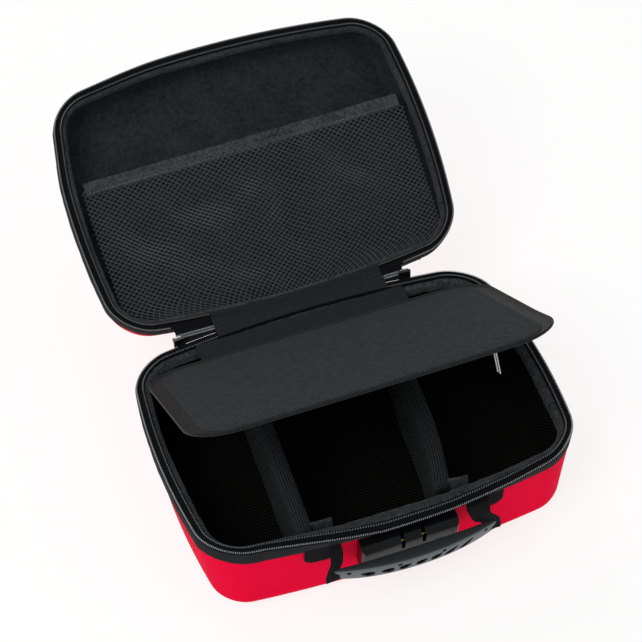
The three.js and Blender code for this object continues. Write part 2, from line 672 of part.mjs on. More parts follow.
function addHandle(parent) {
  // Sections of the grip: place along X, centre in Y and Z, half depth and half height.
  const halfGrip = HANDLE_NECK.fromX - 0.1;
  const grip = Array.from({ length: 9 }, (_, k) => {
    const x = ((k - 4) / 4) * halfGrip;
    const bow = 1 - (x / halfGrip) ** 2;
    return { x, y: -142.8 - 4.2 * bow, z: 55.6 - 1.2 * bow, halfY: 3.4 + 2.2 * bow, halfZ: 6.4 + 1.2 * bow };
  });
  const { fromX, toX, y, z, radius } = HANDLE_NECK;
  const end = (sign) => [
    { x: sign * fromX, y, z, halfY: radius, halfZ: radius },
    { x: sign * toX, y, z, halfY: radius, halfZ: radius },
    { x: sign * (toX + 0.1), y, z, halfY: 5.4, halfZ: 5.4 },
    { x: sign * HANDLE_HALF_LENGTH, y, z, halfY: 4.4, halfZ: 4.4 },
  ];
  const sections = [...end(-1).reverse(), ...grip, ...end(1)];
  const octagon = [
    [1, 0.55], [0.55, 1], [-0.55, 1], [-1, 0.55],
    [-1, -0.55], [-0.55, -1], [0.55, -1], [1, -0.55],
  ];
  const rings = sections.map((s) =>
    octagon.map(([u, v]) => new THREE.Vector3(s.x, s.y + u * s.halfY, s.z + v * s.halfZ)),
  );
  named('handle_grip', loft(rings), plastic(RUBBER), parent);

  for (const [side, sign] of [['left', -1], ['right', 1]]) {
    named(`webbing_patch_${side}`, webbingPatch(sign), fabric(BLACK), parent);
    named(`webbing_loop_${side}`, strapLoop(sign * HANDLE_PIVOT.x), fabric(BLACK), parent);
  }
}

// A strap from the pivot round the handle's neck, as a round-ended link.
function strapLoop(x) {
  const away = Math.atan2(HANDLE_NECK.z - HANDLE_PIVOT.z, HANDLE_NECK.y - HANDLE_PIVOT.y);
  const steps = 6;
  const arc = (centre, start) =>
    Array.from({ length: steps + 1 }, (_, i) => {
      const angle = start + (Math.PI * i) / steps;
      return [centre.y + STRAP_RADIUS * Math.cos(angle), centre.z + STRAP_RADIUS * Math.sin(angle)];
    });
  const outline = [...arc(HANDLE_NECK, away - Math.PI / 2), ...arc(HANDLE_PIVOT, away + Math.PI / 2)];
  const hole = new THREE.Path();
  hole.absarc(HANDLE_NECK.y, HANDLE_NECK.z, HANDLE_NECK.radius + 0.45, 0, Math.PI * 2, true);
  return alongX(outline, x - STRAP_WIDTH / 2, x + STRAP_WIDTH / 2, [hole]);
}

// ---- zip sliders parked at both ends of the zip ----

// Each slider carries a pull that hangs behind the rear wall from a pin between two ears.
function addZipSlider(name, parent) {
  const x = SLIDER_X[name];
  const trueX = x / REAR_SHRINK;
  const rim = outlinePoint(station(trueX, CORE_Y, Math.PI / 2), 0, 0);
  const slope = (-2 * HALF_DEPTH * LONG_SIDE_BULGE * trueX) / HALF_WIDTH ** 2 / REAR_SHRINK;
  const frame = new THREE.Group();
  frame.position.set(rim.x, rim.y + 2 * GAP, SEAM_HEIGHT);
  frame.rotation.z = Math.atan(slope);
  parent.add(frame);

  const { halfWidth, depth, halfHeight } = SLIDER_BODY;
  const body = roundedPlate(-halfWidth, halfWidth, 0, depth, 1, -halfHeight, halfHeight);
  const ears = [-4.5, 3.3].map((from) => box(from, from + 1.2, depth - 1, SLIDER_RING_Y + 1.2, -1.6, 1.6));
  const pin = cylinderAlongX(1, -4, 4, SLIDER_RING_Y, 0, 12);
  named(`zip_slider_${name}`, combine(body, [...ears, pin], []), metal(BLACK), frame);

  const knuckle = cylinderAlongX(2.1, -3, 3, SLIDER_RING_Y, 0, 16);
  const tongue = box(-3, 3, SLIDER_RING_Y - 0.7, SLIDER_RING_Y + 0.7, -PULL_LENGTH, -1);
  const eye = cylinderAlongX(1.4, -4, 4, SLIDER_RING_Y, 0, 16);
  named(`zip_pull_${name}`, combine(knuckle, [tongue], [eye]), metal(SILVER), frame);
}

const carryCase = new THREE.Group();
addBase(carryCase);
addLid(carryCase);
addFlap(carryCase);
addDivider('left', carryCase);
addDivider('right', carryCase);
addLock(carryCase);
addHandle(carryCase);
addZipSlider('left', carryCase);
addZipSlider('right', carryCase);

export default carryCase;
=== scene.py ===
import math

import bmesh
import bpy
import numpy as np
from mathutils import Matrix, Vector


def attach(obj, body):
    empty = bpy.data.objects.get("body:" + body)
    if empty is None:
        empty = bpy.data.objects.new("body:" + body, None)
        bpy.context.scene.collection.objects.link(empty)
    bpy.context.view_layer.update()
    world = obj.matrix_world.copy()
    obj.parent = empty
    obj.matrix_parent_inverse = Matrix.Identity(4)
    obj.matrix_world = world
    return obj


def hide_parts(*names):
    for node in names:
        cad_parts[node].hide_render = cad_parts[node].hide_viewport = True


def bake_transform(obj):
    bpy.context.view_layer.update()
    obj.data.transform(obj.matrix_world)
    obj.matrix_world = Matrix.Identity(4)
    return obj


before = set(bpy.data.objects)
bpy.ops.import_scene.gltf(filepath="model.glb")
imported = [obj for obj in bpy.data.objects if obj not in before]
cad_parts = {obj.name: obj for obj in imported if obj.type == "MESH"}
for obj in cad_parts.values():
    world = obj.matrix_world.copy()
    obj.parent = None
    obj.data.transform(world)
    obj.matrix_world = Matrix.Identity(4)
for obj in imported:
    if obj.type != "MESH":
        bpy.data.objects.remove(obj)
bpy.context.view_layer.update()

MM = 0.001
TAU = 2 * math.pi

# ---- the case's outline and rim, as in the CAD ----
HALF_WIDTH = 170
HALF_DEPTH = 125.5
CORNER_RADIUS = 36
LONG_SIDE_BULGE = 0.108
SHORT_SIDE_BULGE = 0.063
SEAM_HEIGHT = 86.8
LID_HEIGHT = 46
BAND_BOTTOM = 14.7
BASE_DRAFT = 8.7
BASE_FILLET = 17
LID_DRAFT = 4.5
LID_FILLET = 15
SHELL_TOP_INSET = 0.8
SHELL_THICKNESS = 3
HINGE_Y = 127
LID_OPEN = math.radians(149)
FLAP_OPEN = math.radians(31.8)
FLAP_HINGE = (0, 91.5, 87)

# ---- how far the front rim rolls outward, pulled by the handle and the lock ----
FRONT_ROLL = math.radians(39)
ROLL_PIVOT = (1.0, 14.7)  # inset and drop of the line it turns about, at the band's foot
FRONT_BOW = 0.8  # how far the whole front edge is drawn out
LID_CORNER_DRAW = 4.0
ROLL_PLACES = [-116, -88, -50, -22, 38, 90, 125, 150]  # x along the front
ROLL_SHARES = [0, 0.3, 0.75, 1, 1, 0.74, 0.45, 0.2]
ROLL_AT_SIDE = 0.12

RIM_STATIONS = 720
TOOTH_PITCH = 1.75
STITCH_PITCH = 2.1

LID_FRAME = Matrix.Translation((0, HINGE_Y, SEAM_HEIGHT)) @ Matrix.Rotation(-LID_OPEN, 4, "X")
FLAP_FRAME = Matrix.Translation(FLAP_HINGE) @ Matrix.Rotation(-FLAP_OPEN, 4, "X")


# ---- materials


def links(tree, *pairs):
    for source, target in pairs:
        tree.links.new(source, target)


def node(tree, kind, **settings):
    made = tree.nodes.new(kind)
    for name, value in settings.items():
        setattr(made, name, value)
    return made


def math_node(tree, operation, a, b=None):
    made = node(tree, "ShaderNodeMath", operation=operation)
    for socket, value in zip(made.inputs, (a, b)):
        if value is None:
            continue
        if isinstance(value, (int, float)):
            socket.default_value = value
        else:
            tree.links.new(value, socket)
    return made.outputs[0]


def weighted(tree, a, a_share, b, b_share):
    first = math_node(tree, "MULTIPLY", a, a_share)
    second = math_node(tree, "MULTIPLY", b, b_share)
    return math_node(tree, "ADD", first, second)


def new_material(name, color, roughness, metallic=0.0, sheen=0.0, coat=0.0, specular=0.5):
    made = bpy.data.materials.new(name)
    made.use_nodes = True
    shader = made.node_tree.nodes["Principled BSDF"]
    values = {"Base Color": (*color, 1), "Roughness": roughness, "Metallic": metallic}
    values["Specular IOR Level"] = specular
    if sheen:
        values.update({"Sheen Weight": sheen, "Sheen Roughness": 0.5})
    if coat:
        values.update({"Coat Weight": coat, "Coat Roughness": 0.12})
    for socket, value in values.items():
        shader.inputs[socket].default_value = value
    return made, made.node_tree, shader


def coordinates(tree, kind, turn=0.0):
    """Metres on the piece: its own axes, or along and across its loft."""
    source = node(tree, "ShaderNodeTexCoord")
    mapping = node(tree, "ShaderNodeMapping")
    mapping.inputs["Rotation"].default_value = (0, 0, turn)
    links(tree, (source.outputs["UV" if kind == "UV" else "Object"], mapping.inputs["Vector"]))
    return mapping.outputs["Vector"]


def noise(tree, vector, size, detail=3.0, roughness=0.6):
    """Noise whose grains are about size metres across."""
    made = node(tree, "ShaderNodeTexNoise")
    made.inputs["Scale"].default_value = 0.6 / size
    made.inputs["Detail"].default_value = detail
    made.inputs["Roughness"].default_value = roughness
    links(tree, (vector, made.inputs["Vector"]))
    return made.outputs["Fac"]


def ribs(tree, vector, pitch, direction, distortion=0.0):
    """Even ridges, pitch metres apart, stacked along the direction."""
    made = node(tree, "ShaderNodeTexWave", wave_type="BANDS", bands_direction=direction)
    per_turn = math.sqrt(3) * 10 if direction == "DIAGONAL" else 20
    made.inputs["Scale"].default_value = TAU / per_turn / pitch
    made.inputs["Distortion"].default_value = distortion
    made.inputs["Detail Scale"].default_value = 1.5
    links(tree, (vector, made.inputs["Vector"]))
    return made.outputs["Fac"]


def bump(tree, shader, height, distance, strength=1.0):
    made = node(tree, "ShaderNodeBump")
    made.inputs["Strength"].default_value = strength
    made.inputs["Distance"].default_value = distance
    links(tree, (height, made.inputs["Height"]), (made.outputs["Normal"], shader.inputs["Normal"]))


def shade(tree, shader, amount, low, high, start=0.0, end=1.0):
    """Colours the shader from low to high while amount goes from start to end."""
    ramp = node(tree, "ShaderNodeValToRGB")
    first, last = ramp.color_ramp.elements
    first.color = (*low, 1)
    first.position = start
    last.color = (*high, 1)
    last.position = end
    links(tree, (amount, ramp.inputs["Fac"]), (ramp.outputs["Color"], shader.inputs["Base Color"]))


def scaled(color, share):
    return tuple(c * share for c in color)


def tints(color, contrast):
    return scaled(color, 1 - contrast), scaled(color, 1 + contrast)


def felt(name, color, grain, depth, contrast, sheen):
    """Looped or brushed fabric: a soft mottle with fine fibres."""
    made, tree, shader = new_material(name, color, 0.95, sheen=sheen, specular=0.08)
    place = coordinates(tree, "Object")
    fibres = noise(tree, place, grain, 4)
    blotches = noise(tree, place, grain * 7, 2)
    mixed = weighted(tree, fibres, 0.7, blotches, 0.3)
    shade(tree, shader, mixed, *tints(color, contrast), 0.3, 0.7)
    bump(tree, shader, fibres, depth)
    return made


def ribbed(name, color, pitch, depth, kind, direction, contrast, turn, distortion, sheen):
    """Ribbed fabric: ridges crossed by fine threads."""
    made, tree, shader = new_material(name, color, 0.9, sheen=sheen, specular=0.06)
    place = coordinates(tree, kind, turn)
    ridge = ribs(tree, place, pitch, direction, distortion)
    threads = noise(tree, place, pitch * 0.35, 3)
    height = weighted(tree, ridge, 1, threads, 0.6)
    amount = math_node(tree, "MULTIPLY", height, 0.62)
    shade(tree, shader, amount, *tints(color, contrast), 0.2, 0.8)
    bump(tree, shader, height, depth)
    return made


def woven(name, color, pitch, depth, kind, turn, contrast, roughness, sheen, mottle=0.3):
    """Plain or twill weave: two crossed sets of ridges."""
    made, tree, shader = new_material(name, color, roughness, sheen=sheen, specular=0.08)
    place = coordinates(tree, kind, turn)
    across = ribs(tree, place, pitch, "X")
    along = ribs(tree, place, pitch * 1.3, "Y")
    grain = noise(tree, place, pitch * 1.5, 3)
    weave = math_node(tree, "MULTIPLY", across, along)
    height = weighted(tree, weave, 1, grain, mottle)
    shade(tree, shader, height, *tints(color, contrast), 0.0, 0.9)
    bump(tree, shader, height, depth)
    return made


def smooth_plastic(name, color, roughness, grain, depth, coat=0.0, specular=0.5):
    made, tree, shader = new_material(name, color, roughness, coat=coat, specular=specular)
    place = coordinates(tree, "Object")
    speckle = noise(tree, place, grain, 2)
    wear = noise(tree, place, grain * 25, 3)
    low = math_node(tree, "MULTIPLY", wear, 0.18)
    rough = math_node(tree, "ADD", low, roughness - 0.09)
    links(tree, (rough, shader.inputs["Roughness"]))
    shade(tree, shader, wear, scaled(color, 0.9), scaled(color, 1.12))
    bump(tree, shader, speckle, depth)
    return made


def plated(name, color, roughness):
    made, tree, shader = new_material(name, color, roughness, metallic=1.0)
    place = coordinates(tree, "Object")
    wear = noise(tree, place, 0.004, 3)
    rough = math_node(tree, "ADD", math_node(tree, "MULTIPLY", wear, 0.2), roughness - 0.1)
    links(tree, (rough, shader.inputs["Roughness"]))
    shade(tree, shader, wear, scaled(color, 0.85), color)
    return made


def red_jersey():
    """Smooth stretch fabric laminated to moulded foam."""
    color = (0.8, 0.0002, 0.036)
    made, tree, shader = new_material("red_jersey", color, 0.75, specular=0.03)
    place = coordinates(tree, "Object")
    knit = noise(tree, place, 0.0006, 3)
    lots = noise(tree, place, 0.02, 3)
    mixed = weighted(tree, knit, 0.45, lots, 0.55)
    shade(tree, shader, mixed, scaled(color, 0.9), (0.86, 0.0003, 0.041))
    bump(tree, shader, knit, 0.00012)
    return made


MATERIALS = {
    "red": red_jersey(),
    "band": felt("band_felt", (0.014, 0.0145, 0.017), 0.0012, 0.0004, 0.35, 0.03),
    "tape": ribbed(
        "zip_tape_twill", (0.0045, 0.0047, 0.0055), 0.0011, 0.0003, "UV", "X", 0.5, 0.7, 0.0, 0.02
    ),
    # Light grey coil: a painted highlight, the glints along the coil heads painted into the nylon's own
    # colour.
    "teeth": smooth_plastic("zip_nylon_painted_glints", (0.3, 0.31, 0.33), 0.25, 0.0008, 0.00002, 0.5),
    "stitch": smooth_plastic("stitch_thread", (0.16, 0.165, 0.18), 0.5, 0.0005, 0.00006),
    "binding": felt("binding_felt", (0.032, 0.034, 0.038), 0.0019, 0.0011, 0.85, 0.06),
    "lid_bead": felt("lid_bead_felt", (0.029, 0.031, 0.035), 0.0019, 0.001, 0.7, 0.05),
    # Near-black lining: the fabric's own black, darkened further as painted shade for the deep compartments.
    "lining": ribbed(
        "ribbed_lining_with_painted_shade", (0.006, 0.0057, 0.0055), 0.0024, 0.0008, "Object", "DIAGONAL", 0.9, 0.0, 0.4, 0.0
    ),
    "lid_panel": felt("lid_panel_felt", (0.019, 0.021, 0.0235), 0.0022, 0.0006, 0.55, 0.03),
    "net": smooth_plastic("net_cord", (0.065, 0.072, 0.082), 0.2, 0.0006, 0.0001, 0.0, 0.6),
    "pocket_band": felt("pocket_band_felt", (0.036, 0.038, 0.043), 0.0018, 0.001, 0.8, 0.06),
    "flap": woven(
        "flap_twill", (0.0185, 0.02, 0.0222), 0.0021, 0.0011, "Object", 0.78, 0.85, 0.9, 0.03, 1.2
    ),
    # A darker copy of the flap twill for the bead and the ledge round the raised panel: painted shade.
    "flap_edge_painted_shade": woven(
        "flap_edge_twill_painted_shade", (0.0105, 0.011, 0.0125), 0.0016, 0.0004, "Object", 0.78, 0.4, 0.5, 0.04
    ),
    "hinge": woven("hinge_weave", (0.0125, 0.0135, 0.0145), 0.0016, 0.0006, "UV", 0.0, 0.7, 0.85, 0.02, 0.7),
    "divider": ribbed(
        "divider_ribs", (0.021, 0.0225, 0.0245), 0.0023, 0.0009, "UV", "Y", 0.75, 0.0, 1.2, 0.03
    ),
    "webbing": ribbed(
        "webbing_ribs", (0.0105, 0.011, 0.0125), 0.0015, 0.0005, "UV", "Y", 0.6, 0.0, 0.3, 0.02
    ),
    "handle": smooth_plastic("handle_rubber", (0.015, 0.0182, 0.0205), 0.45, 0.0012, 0.00006, 0.0, 0.35),
    # A lighter copy of the handle rubber for the outer face: painted light where the face catches the light.
    "handle_face_painted_light": smooth_plastic(
        "handle_face_rubber_painted_light", (0.088, 0.1, 0.112), 0.42, 0.0012, 0.00005, 0.0, 0.3
    ),
    # Near-black rubber: painted shade inside the teardrop recesses and dimples.
    "handle_painted_shade": smooth_plastic("handle_recess_painted_shade", (0.0035, 0.0037, 0.004), 0.6, 0.0006, 0.00003, 0.0, 0.1),
    "lock": smooth_plastic("lock_gloss", (0.0035, 0.0038, 0.0045), 0.25, 0.002, 0.000008, 0.0, 0.2),
    "dial": smooth_plastic("dial_plastic", (0.012, 0.0125, 0.014), 0.35, 0.001, 0.00001, 0.0, 0.3),
    "nickel": plated("nickel_plate", (0.62, 0.62, 0.63), 0.24),
    "brass": plated("brass_plate", (0.75, 0.5, 0.2), 0.3),
    "slider": smooth_plastic("slider_enamel", (0.006, 0.006, 0.007), 0.3, 0.001, 0.00001, 0.2, 0.3),
}


# ---- meshes


def in_frame(points, frame_matrix):
    """Points given in a frame's own axes, in the case's axes."""
    return points @ np.array(frame_matrix.to_3x3()).T + np.array(frame_matrix.translation)


def mesh_object(name, points, faces, material, frame_matrix=None, uvs=None, smooth=True):
    """Builds an object from points in millimetres, in the frame's own axes."""
    points = np.asarray(points, float)
    if frame_matrix is not None:
        points = in_frame(points, frame_matrix)
    mesh = bpy.data.meshes.new(name)
    mesh.from_pydata((points * MM).tolist(), [], [list(map(int, f)) for f in faces])
    if uvs is not None:
        layer = mesh.uv_layers.new(name="along_across")
        layer.data.foreach_set("uv", np.asarray(uvs, np.float32).ravel())
    mesh.materials.append(MATERIALS[material])
    mesh.polygons.foreach_set("use_smooth", [smooth] * len(mesh.polygons))
    made = bpy.data.objects.new(name, mesh)
    bpy.context.scene.collection.objects.link(made)
    return made


def finish_piece(made, body=None, nodes=()):
    """Fixes the outward sides, then parents the piece to its body's empty, when there is one, and hides the
    CAD parts it stands for.
    """
    work = bmesh.new()
    work.from_mesh(made.data)
    bmesh.ops.recalc_face_normals(work, faces=work.faces)
    work.to_mesh(made.data)
    work.free()
    if body is not None:
        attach(made, body)
    if nodes:
        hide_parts(*nodes)
    return made


def grid_faces(rows, columns, ring):
    """Quads between neighbouring points stored row by row. Each row is a closed loop."""
    rr, cc = np.meshgrid(np.arange(rows if ring else rows - 1), np.arange(columns), indexing="ij")
    below, beside = (rr + 1) % rows, (cc + 1) % columns
    corners = [(rr, cc), (below, cc), (below, beside), (rr, beside)]
    return np.stack([row * columns + column for row, column in corners], -1).reshape(-1, 4).tolist()


def grid_uvs(u, v):
    """Corner coordinates for grid_faces, from lengths along the rows and columns."""
    rr, cc = np.meshgrid(np.arange(len(u) - 1), np.arange(len(v) - 1), indexing="ij")
    corners = [(rr, cc), (rr + 1, cc), (rr + 1, cc + 1), (rr, cc + 1)]
    return np.stack([np.stack([u[a], v[b]], -1) * MM for a, b in corners], 2).reshape(-1, 2)


def lengths_along(points, closed=False):
    """Distance along a polyline, with the closing step added when it is closed."""
    points = np.asarray(points, float)
    if closed:
        points = np.vstack([points, points[:1]])
    steps = np.linalg.norm(np.diff(points, axis=0), axis=1)
    return np.concatenate([[0], np.cumsum(steps)])


def skin(name, grid, material, frame_matrix=None, ring=False):
    """A closed skin over loops of points: the loops form a ring, or the two end loops are capped."""
    rows, columns = grid.shape[:2]
    v = lengths_along(grid[rows // 2], True)
    faces = grid_faces(rows, columns, ring)
    uvs = grid_uvs(lengths_along(grid[:, 0], ring), v)
    if not ring:
        faces += [list(range(columns)), list(range((rows - 1) * columns, rows * columns))[::-1]]
        flat = np.stack([v[:columns] * MM, np.zeros(columns)], -1)
        uvs = np.vstack([uvs, flat, flat[::-1]])
    return mesh_object(name, grid.reshape(-1, 3), faces, material, frame_matrix, uvs)


def many(name, shape_points, shape_faces, places, material, frame_matrix=None):
    """Copies one small shape to many places. Each place is a 3x3 turn and a point."""
    shape_points = np.asarray(shape_points, float)
    turns = np.array([t for t, _ in places])
    shifts = np.array([p for _, p in places])
    points = np.einsum("nij,kj->nki", turns, shape_points) + shifts[:, None]
    count = len(shape_points)
    faces = [[i + n * count for i in f] for n in range(len(places)) for f in shape_faces]
    return mesh_object(name, points.reshape(-1, 3), faces, material, frame_matrix)


def ellipsoid(rx, ry, rz, rings=4, sides=6):
    """Points and faces of a small rounded grain."""
    points = [(0, 0, rz)]
    for i in range(1, rings):
        a = math.pi * i / rings
        wide, high = math.sin(a), rz * math.cos(a)
        for k in range(sides):
            turn = TAU * k / sides
            points.append((rx * wide * math.cos(turn), ry * wide * math.sin(turn), high))
    points.append((0, 0, -rz))
    faces = [(0, 1 + k, 1 + (k + 1) % sides) for k in range(sides)]
    for start in range(1, 1 + (rings - 2) * sides, sides):
        below = start + sides
        for k in range(sides):
            beside = (k + 1) % sides
            faces.append((start + k, below + k, below + beside, start + beside))
    last = 1 + (rings - 2) * sides
    faces += [(last + k, len(points) - 1, last + (k + 1) % sides) for k in range(sides)]
    return points, faces


def wander(s, total, seed, waves=((3, 1.0), (7, 0.6), (17, 0.4), (41, 0.25))):
    """A smooth closed ripple along s, between about -1 and 1."""
    rng = np.random.default_rng(seed)
    value = np.zeros_like(np.asarray(s, float))
    for count, size in waves:
        value += size * np.sin(TAU * (count * np.asarray(s) / total + rng.random()))
    return value / sum(size for _, size in waves)


def smoothstep(low, high, value):
    t = np.clip((np.asarray(value, float) - low) / (high - low), 0, 1)
    return t * t * (3 - 2 * t)


# ---- outline


def outline_points(core, normal, inset):
    """Points of the case's outline drawn in by inset, seen from above."""
    p = core + normal * (CORNER_RADIUS - np.asarray(inset, float))[..., None]
    x = p[..., 0] * (1 - SHORT_SIDE_BULGE * (p[..., 1] / HALF_DEPTH) ** 2)
    y = p[..., 1] * (1 - LONG_SIDE_BULGE * (p[..., 0] / HALF_WIDTH) ** 2)
    return np.stack([x, y], -1)


def dense_outline(steps=400):
    """Cores and normals from the middle of the rear, by the left and the front, and back."""
    cx, cy = HALF_WIDTH - CORNER_RADIUS, HALF_DEPTH - CORNER_RADIUS
    corners = [(-cx, cy), (-cx, -cy), (cx, -cy), (cx, cy)]
    cores, angles = [], []

    def run(a, b, angle_from, angle_to):
        t = np.linspace(0, 1, steps, endpoint=False)
        cores.append(np.outer(1 - t, a) + np.outer(t, b))
        angles.append(angle_from + (angle_to - angle_from) * t)

    here = (0, cy)
    for k, corner in enumerate(corners):
        angle = math.pi / 2 * (k + 1)
        run(here, corner, angle, angle)
        run(corner, corner, angle, angle + math.pi / 2)
        here = corner
    run(here, (0, cy), math.pi * 2.5, math.pi * 2.5)
    angles = np.concatenate(angles)
    return np.concatenate(cores), np.stack([np.cos(angles), np.sin(angles)], -1)


class Rim:
    """Evenly spaced stations round the outline."""

    def __init__(self, count):
        core, normal = dense_outline()
        s = lengths_along(outline_points(core, normal, np.zeros(len(core))), True)
        self.total = s[-1]
        self.count = count
        self.s = np.arange(count) * self.total / count

        def at_stations(values):
            return np.stack([np.interp(self.s, s, np.append(v, v[0])) for v in values.T], -1)

        self.core = at_stations(core)
        self.normal = at_stations(normal)
        self.normal /= np.linalg.norm(self.normal, axis=1)[:, None]
        self.edge = outline_points(self.core, self.normal, np.zeros(count))

    def roll(self):
        """How far the rim's section turns outward at each station."""
        x, y = self.edge.T
        front = smoothstep(55, 105, -y)
        along = np.interp(x, ROLL_PLACES, ROLL_SHARES)
        side = ROLL_AT_SIDE * smoothstep(120, 165, x) * smoothstep(125, -20, y)
        return FRONT_ROLL * np.maximum(front * along, side)

    def lid_corner(self):
        """How far the lid's soft left corner is drawn in at each station."""
        x, y = self.edge.T
        return LID_CORNER_DRAW * smoothstep(50, 145, -x) * smoothstep(20, 95, -y)


RIM = Rim(RIM_STATIONS)
BASE_ROLL = RIM.roll()
HALVES = {  # z is the seam's height plus the sign times the drop below the rim
    "base": {"seam": SEAM_HEIGHT, "sign": -1, "hinge_y": 0, "frame": None, "lining": "lining"},
    "lid": {"seam": 0, "sign": 1, "hinge_y": HINGE_Y, "frame": LID_FRAME, "lining": "lid_panel"},
}
HALVES["base"].update(depth=SEAM_HEIGHT, draft=BASE_DRAFT, fillet=BASE_FILLET, binding="binding")
HALVES["lid"].update(depth=LID_HEIGHT, draft=LID_DRAFT, fillet=LID_FILLET, binding="lid_bead")


def on_rim(half, inset, drop, rolled=True):
    """Points at inset and drop per station, or per station and column, out of true as fabric is."""
    setup = HALVES[half]
    inset, drop = np.asarray(inset, float), np.asarray(drop, float)

    def spread(values):
        return values[:, None] if inset.ndim == 2 else values

    if half == "lid":
        inset = inset + spread(RIM.lid_corner())
    elif rolled:
        turn = spread(BASE_ROLL)
        i, d = inset - ROLL_PIVOT[0], drop - ROLL_PIVOT[1]
        turned_inset = ROLL_PIVOT[0] + i * np.cos(turn) + d * np.sin(turn)
        turned_drop = ROLL_PIVOT[1] + d * np.cos(turn) - i * np.sin(turn)
        share = 1 - smoothstep(9.5, 18, inset)
        bow = FRONT_BOW * turn / FRONT_ROLL
        inset = inset + (turned_inset - bow - inset) * share
        drop = drop + (turned_drop - drop) * share
    flat = outline_points(spread(RIM.core), spread(RIM.normal), inset)
    z = setup["seam"] + setup["sign"] * drop
    return np.stack([flat[..., 0], flat[..., 1] - setup["hinge_y"], z], -1)


def circle(radius, steps):
    return [(radius * math.cos(a), radius * math.sin(a)) for a in np.linspace(0, TAU, steps, endpoint=False)]


def rounded_section(points, radius, steps=4):
    """Rounds the corners of a closed polygon."""
    points = [np.array(p, float) for p in points]
    made = []
    for k, corner in enumerate(points):
        before, after = points[k - 1] - corner, points[(k + 1) % len(points)] - corner
        reach = min(radius, 0.45 * np.linalg.norm(before), 0.45 * np.linalg.norm(after))
        a = corner + before / np.linalg.norm(before) * reach
        b = corner + after / np.linalg.norm(after) * reach
        for t in np.linspace(0, 1, steps + 1):
            made.append((1 - t) ** 2 * a + 2 * t * (1 - t) * corner + t * t * b)
    return np.array(made)


def per_station(section):
    """Insets and drops of a section, repeated at every station."""
    return np.tile(section[:, 0], (RIM.count, 1)), np.tile(section[:, 1], (RIM.count, 1))


def carry_round(name, half, section, material, wobble=None):
    """Carries a closed section of inset and drop pairs all round the rim."""
    inset, drop = per_station(section)
    if wobble is not None:
        inset, drop = wobble(inset, drop)
    return skin(name, on_rim(half, inset, drop), material, HALVES[half]["frame"], ring=True)


# ---- rim pieces


def rim_band(half):
    """The wide outer tape, slightly puckered along its stitching."""
    top, thickness = 2.5, 1.7
    corners = [(0, top), (thickness, top), (thickness, BAND_BOTTOM), (0, BAND_BOTTOM)]
    section = rounded_section(corners, 0.8)

    def wobble(inset, drop):
        pucker = wander(RIM.s, RIM.total, 11, ((23, 1), (61, 0.6), (97, 0.4)))[:, None]
        return inset + 0.22 * pucker * smoothstep(2, 12, drop), drop

    made = carry_round(f"{half}_band_cloth", half, section, "band", wobble)
    finish_piece(made, half, [f"{half}_rim_band"])


TAPE_EDGES = (0.1, 8.8)  # insets of the zip tape's outer and inner edge
TAPE_TOP_ROWS = 22
TAPE_THICKNESS = 1.3
RIDGE_INSET = 7.3  # the stitched ridge along the tape


def tape_top(inset):
    """How far the tape's top surface is below the seam: a valley, then a raised ridge."""
    valley = np.exp(-(((inset - 4.4) / 1.3) ** 2))
    ridge = np.exp(-(((inset - RIDGE_INSET) / 0.9) ** 2))
    edge = smoothstep(0.9, 0.1, inset)
    return 1.9 + 0.9 * valley - 0.75 * ridge + 0.7 * edge


def zip_tape(half):
    outer, inner = TAPE_EDGES
    top, under = np.linspace(outer, inner, TAPE_TOP_ROWS), np.linspace(inner, outer, 8)
    drop = np.concatenate([tape_top(top), tape_top(under) + TAPE_THICKNESS])
    drop[TAPE_TOP_ROWS - 1] += 0.6  # the inner edge is turned down
    section = np.stack([np.concatenate([top, under]), drop], -1)
    made = carry_round(f"{half}_tape_cloth", half, section, "tape")
    finish_piece(made, half, [f"{half}_zip_tape"])


def rim_frames(inset, drop, half, from_s, to_s, pitch):
    """Places along the zip: a turn whose columns are along, inward and up, and the point."""
    places = []
    at = np.arange(from_s, to_s, pitch) / RIM.total * RIM.count
    low = np.floor(at).astype(int) % RIM.count
    share = (at - np.floor(at))[:, None]

    def row(row_inset, row_drop):
        p = on_rim(half, np.full(RIM.count, row_inset), np.full(RIM.count, row_drop))
        return p[low] * (1 - share) + p[(low + 1) % RIM.count] * share

    here = row(inset, drop)
    inward = row(inset + 0.5, drop)
    up = row(inset, drop - 0.5)
    for p, q, r in zip(here, inward, up):
        y = (q - p) / np.linalg.norm(q - p)
        z = (r - p) / np.linalg.norm(r - p)
        x = np.cross(y, z)
        places.append((np.stack([x, y, z], -1), p))
    return places


ZIP_OPEN = (116, 101)  # the open teeth start this far left and right of the middle of the rear


def zip_teeth(half):
    """The row of teeth, then the stitches on the tape's ridge."""
    frame_matrix = HALVES[half]["frame"]
    head, faces = ellipsoid(0.4, 0.9, 0.95)
    places = rim_frames(1.3, 1.25, half, ZIP_OPEN[0], RIM.total - ZIP_OPEN[1], TOOTH_PITCH)
    # The teeth's light grey is the painted highlight of the coil heads.
    made = many(f"{half}_zip_teeth", head, faces, places, "teeth", frame_matrix)
    finish_piece(made, half, [f"{half}_zip_coil"])
    stitch, faces = ellipsoid(0.5, 0.75, 0.6)
    places = rim_frames(RIDGE_INSET, 1.0, half, 4, RIM.total - 4, STITCH_PITCH)
    made = many(f"{half}_tape_stitches", stitch, faces, places, "stitch", frame_matrix)
    finish_piece(made, half, ())


BINDING_CORNERS = {  # inset and drop
    "base": [(7.6, 4.4), (9.8, 3.6), (13.2, 5.6), (14.2, 11.5), (12.6, 13.2), (8.0, 12.5)],
    "lid": [(7.6, 4.6), (9.8, 3.4), (12.4, 4.6), (13.0, 9.5), (11.8, 12.5), (8.0, 12.0)],
}


